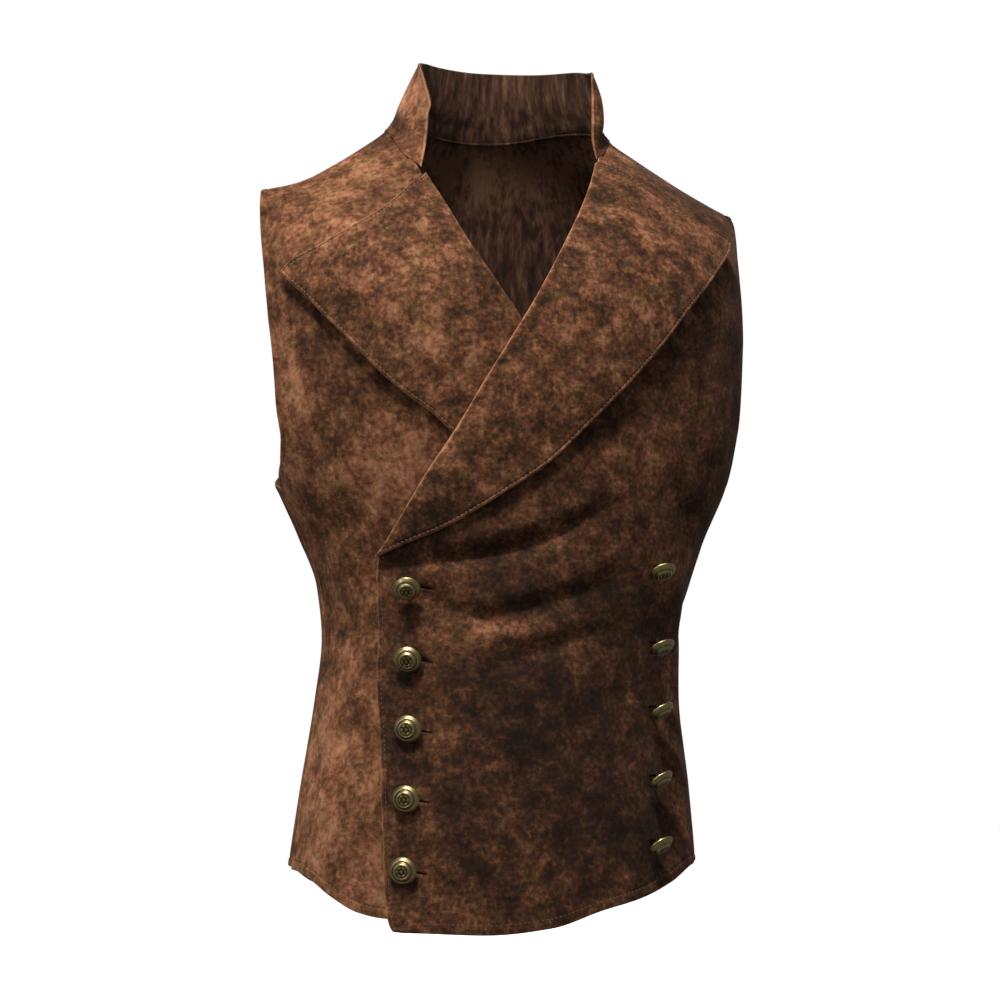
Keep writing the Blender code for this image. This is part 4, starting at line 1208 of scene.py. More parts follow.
def math_node(tree, operation, *values):
    node = add(tree, "ShaderNodeMath", operation=operation)
    for socket, value in zip(node.inputs, values):
        plug(tree, socket, value)
    return node.outputs[0]


def weighted(tree, terms, start=0.0):
    """start + the sum of weight times (value - middle), for terms of value, middle and weight."""
    total = None
    for value, middle, weight in terms:
        scaled = math_node(tree, "MULTIPLY_ADD", value, weight, -middle * weight)
        total = scaled if total is None else math_node(tree, "ADD", total, scaled)
    return math_node(tree, "ADD", total, start)


def ramp(tree, value, stops):
    node = add(tree, "ShaderNodeValToRGB", Fac=value)
    node.color_ramp.interpolation = "B_SPLINE"
    elements = node.color_ramp.elements
    while len(elements) < len(stops):
        elements.new(0.5)
    for element, (position, colour) in zip(elements, stops):
        element.position = position
        element.color = (*colour, 1.0)
    return node.outputs["Color"]


def mix_colour(tree, share, a, b):
    """Two colours mixed by share."""
    node = add(tree, "ShaderNodeMix", data_type="RGBA")
    tree.links.new(share, node.inputs[0])
    sockets = [socket for socket in node.inputs if socket.type == "RGBA"]
    for socket, colour in zip(sockets, (a, b)):
        plug(tree, socket, colour)
    return next(socket for socket in node.outputs if socket.type == "RGBA")


def stretched(tree, vector, turn, scale):
    """Coordinates turned by the angles, in degrees, and then scaled along each axis."""
    angles = tuple(math.radians(angle) for angle in turn)
    turned = add(tree, "ShaderNodeMapping", Vector=vector, Rotation=angles)
    scaled = add(tree, "ShaderNodeMapping", Vector=turned.outputs["Vector"], Scale=scale)
    return scaled.outputs["Vector"]


def finish_shader(tree, height, strength, distance, **settings):
    """Fills the shader's sockets, and gives it its relief."""
    relief = add(tree, "ShaderNodeBump", Height=height, Strength=strength, Distance=distance)
    shader = tree.nodes["Principled BSDF"]
    fill(tree, shader, Normal=relief.outputs["Normal"], **settings)


def suede(name, middle, cloud, mottle, speck, streak, edge_wear_and_highlight):
    """Brushed suede: clouds, mottles and specks of crushed nap, with painted light and painted shade in
    its patches, and paler edges that are partly wear and partly a painted highlight.
    """
    material, tree, where = new_material(name)
    leaning = stretched(tree, where, NAP_LEAN, NAP_STRETCH)
    mottles = noise(tree, where, *MOTTLES)
    specks = noise(tree, where, *SPECKS)
    grain = noise(tree, where, *GRAIN)
    brightness = weighted(
        tree,
        (
            (noise(tree, where, *CLOUDS), NOISE_MIDDLE, cloud),
            (mottles, NOISE_MIDDLE, mottle),
            (specks, NOISE_MIDDLE, speck),
            (noise(tree, leaning, *STREAKS), NOISE_MIDDLE, streak),
            (grain, NOISE_MIDDLE, 0.14),
            (stored(tree, "tone_and_painted_light"), 0.0, 1.0),
            # Pale free edges: partly wear, partly a painted highlight where the rounded rim catches the
            # light
            (stored(tree, "edge"), 0.0, edge_wear_and_highlight),
            (stored(tree, "seam"), 0.0, -0.10),
        ),
        start=middle,
    )
    hue = math_node(tree, "MULTIPLY_ADD", noise(tree, where, *HUES), HUE_CONTRAST, HUE_START)
    red, olive = ramp(tree, brightness, SUEDE_STOPS), ramp(tree, brightness, OLIVE_STOPS)
    finish_shader(
        tree,
        height=weighted(
            tree,
            (
                (grain, NOISE_MIDDLE, 0.2),
                (specks, NOISE_MIDDLE, 0.8),
                (mottles, NOISE_MIDDLE, 1.2),
            ),
        ),
        strength=0.5,
        distance=0.0008,
        Base_Color=mix_colour(tree, hue, red, olive),
        Roughness=math_node(tree, "MULTIPLY_ADD", mottles, -0.16, 0.98),
        Specular_IOR_Level=0.18,
        Sheen_Weight=0.12,
        Sheen_Roughness=0.42,
        Sheen_Tint=(0.90, 0.50, 0.33, 1.0),
    )
    return material


def suede_inside(name):
    """The inner face: dark, with long upright streaks in its nap."""
    material, tree, where = new_material(name)
    drawn = stretched(tree, where, UPRIGHT, INSIDE_STRETCH)
    streaks = noise(tree, drawn, *INSIDE_STREAKS)
    grain = noise(tree, where, *INSIDE_GRAIN)
    brightness = weighted(
        tree,
        (
            (streaks, NOISE_MIDDLE, 1.7),
            (noise(tree, drawn, *INSIDE_BROAD), NOISE_MIDDLE, 1.1),
            (grain, NOISE_MIDDLE, 0.10),
            (stored(tree, "inner_painted_light"), 0.0, 1.0),
            # Darker near the seams: partly a dark joint, partly painted shade that hides the light on
            # the back's top rim under the collar
            (stored(tree, "seam"), 0.0, -0.45),
        ),
        start=0.52,
    )
    finish_shader(
        tree,
        height=weighted(tree, ((streaks, NOISE_MIDDLE, 1.0), (grain, NOISE_MIDDLE, 0.3))),
        strength=0.6,
        distance=0.0009,
        Base_Color=ramp(tree, brightness, INSIDE_STOPS),
        Roughness=0.95,
        Specular_IOR_Level=0.15,
        Sheen_Weight=0.10,
        Sheen_Roughness=0.5,
        Sheen_Tint=(0.70, 0.50, 0.38, 1.0),
    )
    return material


def thread(name, colour):
    """Twisted sewing thread."""
    material, tree, where = new_material(name)
    twist = noise(tree, where, *TWIST)
    dark = (part * THREAD_DARK_SHARE for part in colour)
    finish_shader(
        tree,
        height=twist,
        strength=0.5,
        distance=0.0002,
        Base_Color=mix_colour(tree, twist, (*dark, 1.0), (*colour, 1.0)),
        Roughness=0.75,
        Sheen_Weight=0.2,
    )
    return material


def antique_brass(name):
    """Aged brass: bright on its high places, dark brown in its hollows."""
    material, tree, where = new_material(name)
    scuffs = noise(tree, where, *SCUFFS)
    stains = noise(tree, where, *STAINS)
    age = weighted(
        tree,
        (
            (stored(tree, "hollow"), 0.0, 1.0),
            (stains, NOISE_MIDDLE, 0.9),
            (scuffs, NOISE_MIDDLE, 0.3),
        ),
        start=0.16,
    )
    finish_shader(
        tree,
        height=scuffs,
        strength=0.25,
        distance=0.0002,
        Base_Color=ramp(tree, age, BRASS_STOPS),
        Roughness=math_node(tree, "MULTIPLY_ADD", age, 0.20, 0.32),
        Metallic=1.0,
    )
    return material


# The pieces of cloth
def outer_edge(armhole, panel, level):
    """How far round a panel reaches at each level: to its side seam, or to its armhole above."""
    side_levels, side_places = edge_by_level((armhole,), panel)
    within = np.clip(level, side_levels[0], side_levels[-1])
    reach = smooth_through(side_levels, np.abs(side_places), within)
    reach = np.where(level < side_levels[0], SIDE_SEAM_T, reach)
    scoop = np.clip((level - side_levels[0]) / SCOOP_LEVELS, 0.0, 1.0) ** SCOOP_POWER
    return np.sign(armhole[0][0]) * mix(SIDE_SEAM_T, np.minimum(reach, SIDE_SEAM_T), scoop)


def front_grid(panel, armhole, edge_line, out):
    """A front: from its front edge, roll line and neckline round to the side seam and armhole."""

    def place(across, up):
        level = up * 3
        inner = np.interp(level, *edge_line)
        outer = outer_edge(armhole, panel, level)
        # The roll line's own edge stays inside the turn of the lapel
        width = np.abs(outer - inner) * METRES_PER_T
        inset = smoothstep(*INSET_STARTS, level) * (ROLL_INSET / np.maximum(width, LEAST_WIDTH))
        t = mix(inner, outer, np.clip(inset + across * (1 - inset), 0.0, 1.0))
        z = height_of(level, t, panel)
        # At the shoulder seam the front and the back come together
        apart = 1 - smoothstep(*FRONT_MEETS, level) * smoothstep(*MEETS_ACROSS, across)
        return cloth_place("front", t, z, (out(t, z) + PANEL_WALL / 2) * apart)

    return place


def back_place(across, up):
    """The back: the middle columns run up to the neckline, the others to the shoulder seams."""
    level = up * 3
    way = across * 2 - 1
    right = outer_edge(RIGHT_BACK_ARMHOLE, "back", level)
    outer = np.where(way > 0, outer_edge(LEFT_BACK_ARMHOLE, "back", level), right)
    neck_t = t_at(NECK_X, CHEST_Z)
    beyond = np.clip((np.abs(way) - NECK_SHARE) / (1 - NECK_SHARE), 0.0, 1.0)
    at_side = mix(np.sign(way) * neck_t, outer, beyond)
    t = np.where(np.abs(way) <= NECK_SHARE, neck_t * way / NECK_SHARE, at_side)
    top = neckline_level(x_at(t, CHEST_Z))
    level = np.where(level > 2, mix(2.0, top, level - 2), level)
    z = height_of(level, t, "back")
    apart = 1 - smoothstep(*BACK_MEETS, up) * smoothstep(*MEETS_ACROSS, beyond)
    return cloth_place("back", t, z, PANEL_WALL / 2 * apart)


def lapel_rise(across, up, edge_rise, low_share):
    """How far a lapel stands off what it lies on: least at its roll line, ends and tip."""
    rolled = ROLL_RISE * np.sin(np.clip(across / ROLL_SHARE, 0.0, 1.0) * math.pi / 2)
    at_edge = edge_rise * mix(low_share, 1.0, smoothstep(*RISE_FULL_UP, up))
    free = (at_edge - ROLL_RISE) * smoothstep(*RISE_FULL_ACROSS, across)
    return (rolled + free) * smoothstep(*RISE_STARTS_UP, up)


def waves(table, across, up):
    height = np.zeros_like(up)
    for wave in rows_of(table, LAPEL_WAVE_COLUMNS):
        height += wave["height"] * bump(up, wave["up"], wave["half_length"])
    return height * smoothstep(*WAVES_FULL_ACROSS, across)


def left_lapel_out(t, z, across, up):
    rise = lapel_rise(across, up, LEFT_LAPEL_RISE, LEFT_LOW_SHARE)
    return overlap_out(t, z) + LAPEL_SEAT + (rise + waves(LEFT_LAPEL_WAVES, across, up))


def right_lapel_out(t, z, across, up):
    """The right lapel lies close where the left front covers it, and stands off beyond."""
    past = past_left_edge(t, z)
    shown = smoothstep(*RIGHT_LAPEL_SHOWN_T, -past)
    covered = COVERED_LAPEL_LIFT * smoothstep(TUCK_TO_T, TUCK_TO_T + COVERED_LAPEL_FADE_T, past)
    rise = lapel_rise(across, up, RIGHT_LAPEL_RISE, RIGHT_LOW_SHARE)
    rise += waves(RIGHT_LAPEL_WAVES, across, up)
    return covered_out(t, z) + covered + LAPEL_SEAT + rise * shown


def lapel_grid(roll, edge, top, out, base_out):
    """A lapel: from its roll line, where it turns back, out to its free edge."""

    def spot(across, up):
        straight = mix(along(roll, up), along(edge, up), across[..., None])
        chord = mix(np.array(top[0]), np.array(top[-1]), across[..., None])
        bend = along(top, across) - chord
        spots = straight + bend * (up**3)[..., None]
        return spots[..., 0], spots[..., 1]

    def flat(across, up):
        width = np.linalg.norm(along(edge, up) - along(roll, up), axis=-1)
        inset = np.minimum(ROLL_INSET / np.maximum(width, TINY), LARGEST_INSET)
        x, z = spot(inset + across * (1 - inset), up)
        t = t_at(x, z)
        return cloth_place("front", t, z, out(t, z, across, up) + LAPEL_WALL / 2), t, z

    def place(across, up):
        return flat(across, up)[0]

    def turned(across, up, places):
        """Adds the turn itself: nearly half a circle from the lapel's first column down to the front."""
        _, t, z = flat(across[:, :1], up[:, :1])
        normal = ring_normal("front", t, z)
        first = places[:, :1]
        inward = places[:, INWARD_COLUMN][:, None] - first
        inward = unit(inward - normal * (inward * normal).sum(axis=-1, keepdims=True))
        on_lapel = out(t, z, np.zeros_like(t), up[:, :1])
        drop = on_lapel + (LAPEL_WALL - PANEL_WALL) / 2 - base_out(t, z)
        radius = (drop / 2)[..., None]
        angles = np.linspace(TURN_ANGLE, 0.0, WRAP_COLUMNS + 1)[:-1].reshape(1, -1, 1)
        turn = first - normal * radius * (1 - np.cos(angles)) - inward * radius * np.sin(angles)
        return np.concatenate([turn, places], axis=1)

    return place, turned


def neckline(along_collar):
    """The seam that the collar stands on, from its right end to its left end.

    Gives where it runs on the back, and its (t, z) there and on the fronts.
    """
    at_back = np.abs(along_collar) <= COLLAR_BEHIND
    quarter_turns = np.clip(along_collar / COLLAR_BEHIND, -1.0, 1.0)
    back_x = NECK_X * np.sin(quarter_turns * math.pi / 2)
    back_t = t_at(back_x, CHEST_Z)
    back_z = height_of(neckline_level(back_x), back_t, "back")
    share = np.clip((np.abs(along_collar) - COLLAR_BEHIND) / (1 - COLLAR_BEHIND), 0.0, 1.0)
    left = along(LEFT_NECKLINE[::-1], share * COLLAR_ON_LEFT)
    right = along(RIGHT_NECKLINE[::-1], share * COLLAR_ON_RIGHT)
    front = np.where(along_collar[..., None] > 0, left, right)
    front_t = t_at(front[..., 0], front[..., 1])
    return at_back, (back_t, back_z), (front_t, front[..., 1])


def collar_place(across, up):
    """The standing collar, open at the front. At its foot it curves out over the shoulders."""
    way = across * 2 - 1
    at_back, (back_t, back_z), (front_t, front_z) = neckline(way)
    # The flared foot lies on the panels, a little way out from the neckline
    from_seam = np.clip(1 - np.abs(way) / COLLAR_BEHIND, 0.0, 1.0)
    spread = FLARE_AT_ENDS + (1 - FLARE_AT_ENDS) * smoothstep(*FLARE_FULL, np.abs(way))
    back_x = x_at(back_t, CHEST_Z) * (1 + FLARE_OUT / NECK_X)
    front_x = x_at(front_t, front_z) + np.sign(way) * FLARE_OUT * spread
    foot_back_z = back_z - FLARE_DOWN - FLARE_DOWN_BEHIND * from_seam
    foot_front_z = front_z - FLARE_DOWN * spread

    def on_panels(back, front):
        seat = np.full_like(way, PANEL_WALL + SEAM_GAP + FLARE_WALL / 2)
        places = (cloth_place("back", *back, seat), cloth_place("front", *front, seat))
        return np.where(at_back[..., None], *places)

    foot_back = (t_at(back_x, CHEST_Z), foot_back_z)
    foot = on_panels(foot_back, (t_at(front_x, foot_front_z), foot_front_z))
    base = on_panels((back_t, back_z), (front_t, front_z))
    rim = np.stack([COLLAR_TOP.at(way, axis) for axis in "xyz"], axis=-1)

    def standing(up):
        point = mix(base, rim, up[..., None])
        inward = unit(-point * (1.0, 1.0, 0.0))
        hollow = COLLAR_TOP.at(way, "hollow") * 4 * up * (1 - up) - COLLAR_WALL / 2
        hollow = hollow + COLLAR_RIGHT_END.at(up, "inward") * bump(way, -1.0, RIGHT_END_WIDTH)
        hollow = hollow + COLLAR_LEFT_END.at(up, "inward") * bump(way, 1.0, LEFT_END_WIDTH)
        for fold in rows_of(COLLAR_FOLDS, COLLAR_FOLD_COLUMNS):
            depth = fold["depth"] * bump(way, fold["along"], fold["half_width"])
            hollow = hollow + depth * (1 - up) ** COLLAR_FOLD_POWER
        return point + inward * hollow[..., None]

    curve = np.clip(up / FLARE_SHARE, 0.0, 1.0)[..., None]
    knee = standing(np.full_like(up, KNEE_UP))
    flare = foot * (1 - curve) ** 2 + base * 2 * curve * (1 - curve) + knee * curve**2
    above = standing(mix(KNEE_UP, 1.0, np.clip((up - FLARE_SHARE) / (1 - FLARE_SHARE), 0.0, 1.0)))
    return np.where(curve < 1, flare, above)


# Stitches: which sides of each piece have a row of them
STITCHED_SIDES = {
    "front_right": ("bottom",),
    "front_left": ("start", "bottom"),
    "back": ("bottom",),
    "collar": ("start", "end", "top"),
    "lapel_right": ("end", "top"),
    "lapel_left": ("end", "top"),
}


def sewn_path(piece, side):
    """Points and outward directions along the sewn line inside one side of a shell."""
    sewn_at = piece["sewn"][side]
    border = finer(line_of(piece["places"], side), FINER_PATH)
    normal = unit(finer(line_of(piece["normal"], side), FINER_PATH))
    across = np.cross(normal, unit(np.gradient(border, axis=0)))
    towards = finer(line_of(piece["places"], side, NEXT_LINE), FINER_PATH) - border
    across *= np.sign((across * towards).sum(axis=-1).mean())
    surface = BVHTree.FromObject(piece["object"], bpy.context.evaluated_depsgraph_get())
    edge = tree_of(border)
    path, outward = [], []
    for point, away, up in zip(border, across, normal):
        aim = Vector(point + away * sewn_at + up * AIM_ABOVE)
        hit, direction, _, _ = surface.ray_cast(aim, -Vector(up), AIM_REACH)
        # At a corner the line ends where it comes too near to the edge
        if hit is None or edge.find(hit)[2] < sewn_at * NEAREST_TO_EDGE:
            continue
        path.append(hit)
        outward.append(direction if direction.dot(Vector(up)) > 0 else -direction)
    return np.array(path), np.array(outward)


def stitches(name, paths, material):
    """Small raised stitches along paths, as one mesh."""
    rings, sides = STITCH_RINGS, STITCH_SIDES
    step = STITCH_LENGTH + STITCH_SPACE
    vertices, faces = [], []
    shape = np.sin(np.linspace(THREAD_TIP, math.pi - THREAD_TIP, rings))
    turn = round_circle(sides)
    for path, outward in paths:
        run = run_along(path)
        for start in np.arange(STITCH_SPACE, run[-1] - step, step):
            at = start + np.linspace(0.0, STITCH_LENGTH, rings)
            spine = read_line(at, run, path)
            up = unit(read_line(at[rings // 2], run, outward))
            ahead = spine[-1] - spine[0]
            if np.linalg.norm(ahead) < STITCH_LENGTH * SHORTEST_STITCH:
                continue
            beside = np.cross(unit(ahead), up)
            lift = (shape * THREAD_ARCH - THREAD_SUNK)[:, None] * THREAD_RADIUS * up
            ring = beside * np.cos(turn)[:, None] + up * np.sin(turn)[:, None]
            body = (spine + lift)[:, None] + ring[None] * (shape * THREAD_RADIUS)[:, None, None]
            faces += tube_faces(len(vertices), rings, sides)
            vertices += body.reshape(-1, 3).tolist()
    return new_object(name, vertices, faces, (material,))


# Buttons
BUTTON_FACE = Table(
    ("radius", "height"),
    [
        (0.0000, 0.0050),
        (0.0036, 0.0048),
        (0.0044, 0.0048),
        (0.0049, 0.0051),
        (0.0054, 0.0050),
        (0.0061, 0.0043),
        (0.0067, 0.0034),
        (0.0071, 0.0030),
        (0.0075, 0.0031),
        (0.0081, 0.0029),
        (0.0088, 0.0022),
        (0.0097, 0.0011),
    ],
)
BUTTON_RIM = ((0.0100, 0.0007), (0.0102, 0.0002), (0.0101, -0.0004), (0.0097, -0.0010))
BUTTON_BACK = ((0.0088, -0.0014), (0.0060, -0.0020), (0.0026, -0.0024), (0.0016, -0.0027))
FACE_RADIUS = 0.0097

# The rosette on its face: where each part lies, its half width and how far it stands up
PETALS = 6
PETAL = (0.0031, 0.0009, 0.00034)
DIMPLE = (0.0020, 0.0005, -0.00016)
BEAD_RADIUS = 0.0014
BEAD_HEIGHT = 0.00022
PETAL_POWER = 0.7

# How dark it is: round the rosette's high places, in the step (its radius, half width and
# darkness), on the bead and behind. From the rim's radius outwards it is bright
ROSETTE_RADIUS = 0.0047
CARVED_FROM = 0.55
CARVED_HEIGHT = 0.0006
CARVED_MOST = 0.6
STEP = (0.0071, 0.0003, 0.60)
RIM_RADIUS = 0.0098
BEAD_SHADE = 0.1
BEHIND_SHADE = 0.8


def button_relief(radius, turn):
    """A worn rosette: petals round a bead, in the middle of the dome."""
    middle, half_width, height = PETAL
    petal = height * np.abs(np.cos(turn * PETALS / 2)) ** PETAL_POWER * bump(radius, middle, half_width)
    bead = BEAD_HEIGHT * np.sqrt(np.clip(1 - (radius / BEAD_RADIUS) ** 2, 0.0, 1.0))
    middle, half_width, height = DIMPLE
    return petal + bead + height * bump(radius, middle, half_width)


def shank_rings(matrix, foot, outward):
    """Rings of a bent shank, from the back of a button to the spot where it is sewn on."""
    back = np.array(matrix @ Vector((0.0, 0.0, SHANK_START)))
    turn = np.array(matrix.to_3x3()).T
    bend = np.linalg.norm(back - foot) / 3
    corners = (back, back - turn[2] * bend, foot + outward * bend, foot)
    angle = round_circle(BUTTON_SECTORS)
    rings = []
    for s in np.linspace(0.0, 1.0, SHANK_RINGS):
        weights = ((1 - s) ** 3, 3 * s * (1 - s) ** 2, 3 * s * s * (1 - s), s**3)
        spot = sum(weight * corner for weight, corner in zip(weights, corners))
        leads = ((1 - s) ** 2, 2 * s * (1 - s), s * s)
        way = unit(sum(lead * (b - a) for lead, a, b in zip(leads, corners, corners[1:])))
        beside = unit(turn[0] - way * (turn[0] @ way))
        above = np.cross(beside, way)
        ring = np.cos(angle)[:, None] * beside + np.sin(angle)[:, None] * above
        rings.append(spot + ring * SHANK_RADIUS)
    return rings


def make_button(name, matrix, foot, outward, material):
    """A domed metal button with a stepped rim, turned relief and a shank behind."""
    turn = round_circle(BUTTON_SECTORS)
    round_way = np.stack([np.cos(turn), np.sin(turn)], axis=-1) * BUTTON_SPREAD
    step_radius, step_width, step_shade = STEP
    rings, hollow = [], []
    for radius in np.linspace(0.0, FACE_RADIUS, FACE_RINGS)[1:]:
        relief = button_relief(radius, turn)
        height = BUTTON_FACE.at(radius, "height") + relief
        rings.append(np.column_stack([radius * round_way, height]))
        carved = np.clip(CARVED_FROM - relief / CARVED_HEIGHT, 0.0, CARVED_MOST)
        step = step_shade * bump(radius, step_radius, step_width)
        hollow.append(step + carved * (radius < ROSETTE_RADIUS))
    for radius, height in BUTTON_RIM + BUTTON_BACK:
        rings.append(np.column_stack([radius * round_way, np.full_like(turn, height)]))
        hollow.append(np.full_like(turn, 0.0 if radius > RIM_RADIUS else BEHIND_SHADE))
    rings = [np.array([matrix @ Vector(point) for point in ring]) for ring in rings]
    rings += shank_rings(matrix, foot, outward)
    hollow += [np.full_like(turn, BEHIND_SHADE)] * SHANK_RINGS
    centre = BUTTON_FACE.at(0.0, "height") + float(button_relief(np.array(0.0), np.array(0.0)))
    points = np.concatenate(rings + [[np.array(matrix @ Vector((0.0, 0.0, centre))), foot]])
    shade = np.concatenate([np.concatenate(hollow), [BEAD_SHADE, BEHIND_SHADE]])
    faces = []
    last = len(rings) - 1
    for k in range(BUTTON_SECTORS):
        n = (k + 1) % BUTTON_SECTORS
        faces.append((len(points) - 2, k, n))
        faces.append((len(points) - 1, last * BUTTON_SECTORS + n, last * BUTTON_SECTORS + k))
        for i in range(last):
            a, b = i * BUTTON_SECTORS, (i + 1) * BUTTON_SECTORS
            faces.append((a + k, b + k, b + n, a + n))
    obj = new_object(name, points.tolist(), faces, (material,))
    store(obj.data, "hollow", shade)
    return obj


def frame_on_front(x, z, out, lean_down, lean_right):
    """A matrix on the front at (x, z): local Z points out of the cloth and local X to the left."""
    x, z = np.array([x]), np.array([z])
    t = t_at(x, z)
    spot = Vector(cloth_place("front", t, z, np.array([out]), LARGE_FRONT_FOLDS)[0])
    outward = Vector(ring_normal("front", t, z)[0])
    across = Vector((0, 0, 1)).cross(outward).normalized()
    upward = outward.cross(across)
    turned = Matrix((across, upward, outward)).transposed().to_4x4()
    lean = Matrix.Rotation(math.radians(lean_down), 4, "X")
    lean @= Matrix.Rotation(math.radians(-lean_right), 4, "Y")
    return Matrix.Translation(spot) @ turned @ lean


def sewn_spots(column, x, z, lean_down, lean_right):
    """A button's matrix, and the place and direction where its shank is sewn on."""
    lean = math.radians(math.hypot(lean_down, lean_right))
    # A leaning button stands off far enough for its rim to clear the cloth
    height = max(BUTTON_RADIUS * math.sin(lean) + BUTTON_CLEARANCE, BUTTON_SEAT)
    on_left_front = OVERLAP_LIFT + PANEL_WALL
    matrix = frame_on_front(x, z, on_left_front + height, lean_down, lean_right)
    foot_z = z + FOOT_RISE * math.sin(lean)
    on_right_front = covered_out(t_at(x, foot_z), foot_z) + PANEL_WALL
    under = float(on_right_front) if column == "r" else on_left_front
    foot = frame_on_front(x, foot_z, under + SEAM_GAP, 0, 0)
    return matrix, np.array(foot.translation), np.array(foot.to_3x3())[:, 2]


def place_buttons(material):
    """The fastened buttons go through the left front, and the others are sewn to it."""
    made = {}
    for column, places in (("r", FASTENED_BUTTONS), ("l", LOOSE_BUTTONS)):
        for number, place in enumerate(places, start=1):
            name = f"button_{column}{number}"
            made[name] = make_button(f"brass_{name}", *sewn_spots(column, *place), material)
    return made


# Buttonholes
def slit_outline():
    """A long slit with a round eye where the shank goes through."""
    turn = np.linspace(*(math.radians(angle) for angle in SLIT_EYE_OPENS), SLIT_EYE_SIDES)
    eye = [(SLIT_EYE * math.cos(a), SLIT_EYE * math.sin(a)) for a in turn]
    end = SLIT_LENGTH - SLIT_EYE
    tip = np.linspace(-math.pi / 2, math.pi / 2, SLIT_TIP_SIDES)
    return eye + [(end + SLIT_WIDTH / 2 * math.cos(a), SLIT_WIDTH / 2 * math.sin(a)) for a in tip]


def cut_buttonholes(piece):
    """Cuts the five slits through the left front."""
    vertices, faces = [], []
    outline = slit_outline()
    droop = Matrix.Rotation(math.radians(SLIT_DROOP), 4, "Z")
    for x, z, *leans in FASTENED_BUTTONS:
        foot_z = z + FOOT_RISE * math.sin(math.radians(math.hypot(*leans)))
        base = frame_on_front(x, foot_z, OVERLAP_LIFT + PANEL_WALL / 2, 0, 0)
        depths = (-SLIT_REACH, SLIT_REACH)
        faces += tube_faces(len(vertices), len(depths), len(outline))
        for depth in depths:
            vertices += [base @ droop @ Vector((a, b, depth)) for a, b in outline]
    cutter = new_object("slits", vertices, faces, (), smooth=False)
    obj = piece["object"]
    modifier = obj.modifiers.new("slits", "BOOLEAN")
    modifier.operation = "DIFFERENCE"
    modifier.solver = "EXACT"
    modifier.object = cutter
    bpy.context.view_layer.update()
    evaluated = obj.evaluated_get(bpy.context.evaluated_depsgraph_get())
    cut = bpy.data.meshes.new_from_object(evaluated)
    obj.modifiers.clear()
    obj.data = cut
    bpy.data.objects.remove(cutter, do_unlink=True)


def build_cloth():
    """The six pieces of cloth, each a closed shell on its own grid."""
    outer, side, lapel_cloth = (suede(**look) for look in rows_of(SUEDES, SUEDE_COLUMNS))
    inside = suede_inside("suede_inner")
    pieces = {}

    sewn = {"start": FRONT_SEWN, "end": ARMHOLE_SEWN, "bottom": HEM_SEWN, "top": SEAM_SEWN}
    free = ("start", "end", "bottom")
    for panel, armhole, line, out, cloth in (
        ("front_right", RIGHT_FRONT_ARMHOLE, RIGHT_EDGE_LINE, covered_out, side),
        ("front_left", LEFT_FRONT_ARMHOLE, LEFT_EDGE_LINE, overlap_out, outer),
    ):
        _, _, places = fitted_grid(front_grid(panel, armhole, line, out), FRONT_GRID, sewn)
        name, materials = f"{panel}_cloth", (cloth, inside)
        pieces[panel] = shell(name, places, FORWARD, PANEL_WALL, sewn, free, materials)

    sewn = {**sewn, "start": ARMHOLE_SEWN}
    materials = (side, inside)
    _, _, places = fitted_grid(back_place, BACK_GRID, sewn)
    pieces["back"] = shell(
        "back_cloth", places, BACKWARD, PANEL_WALL, sewn, free, materials, BACK_INNER_ROWS
    )

    sewn = {"start": COLLAR_SEWN, "end": COLLAR_SEWN, "bottom": 0.0, "top": COLLAR_SEWN}
    free = ("start", "end", "top")
    _, up, places = fitted_grid(collar_place, COLLAR_GRID, sewn)
    outward = places * (1.0, 1.0, 0.0)
    thickness = mix(FLARE_WALL, COLLAR_WALL, smoothstep(*FOOT_THICKENS, up))
    thickness = mix(thickness, COLLAR_TOP_WALL, smoothstep(*TOP_THINS, up))
    pieces["collar"] = shell("collar_cloth", places, outward, thickness, sewn, free, materials)
    pieces["collar"]["seams"] = []

    sewn = {"start": 0.0, "end": LAPEL_SEWN, "bottom": 0.0, "top": LAPEL_SEWN}
    free = ("end", "top", "bottom")
    materials = (lapel_cloth, inside)
    for panel, roll, edge, top, out, base_out in (
        ("lapel_right", RIGHT_ROLL, RIGHT_LAPEL_EDGE, RIGHT_LAPEL_TOP, right_lapel_out, covered_out),
        ("lapel_left", LEFT_ROLL, LEFT_LAPEL_EDGE, LEFT_LAPEL_TOP, left_lapel_out, overlap_out),
    ):
        place, turned = lapel_grid(roll, edge, top, out, base_out)
        places = turned(*fitted_grid(place, LAPEL_GRID, sewn))
        pieces[panel] = shell(f"{panel}_cloth", places, FORWARD, LAPEL_WALL, sewn, free, materials)
        # The crest of the turn gets the pale edge too, as a painted highlight where the turn catches the
        # light
        pieces[panel]["edges"].append(places[:, CREST_COLUMN])
    return pieces


def build_stitching(pieces):
    """Rows of stitches beside the free edges of each piece."""
    brown, pale = thread("thread_brown", THREAD_BROWN), thread("thread_pale", THREAD_PALE)
    made = {}
    for name, sides in STITCHED_SIDES.items():
        paths = [sewn_path(pieces[name], side) for side in sides]
        paths = [path for path in paths if len(path[0]) > LEAST_STITCHES]
        made[name] = stitches(f"stitching_{name}", paths, pale if name.startswith("lapel") else brown)
    return made


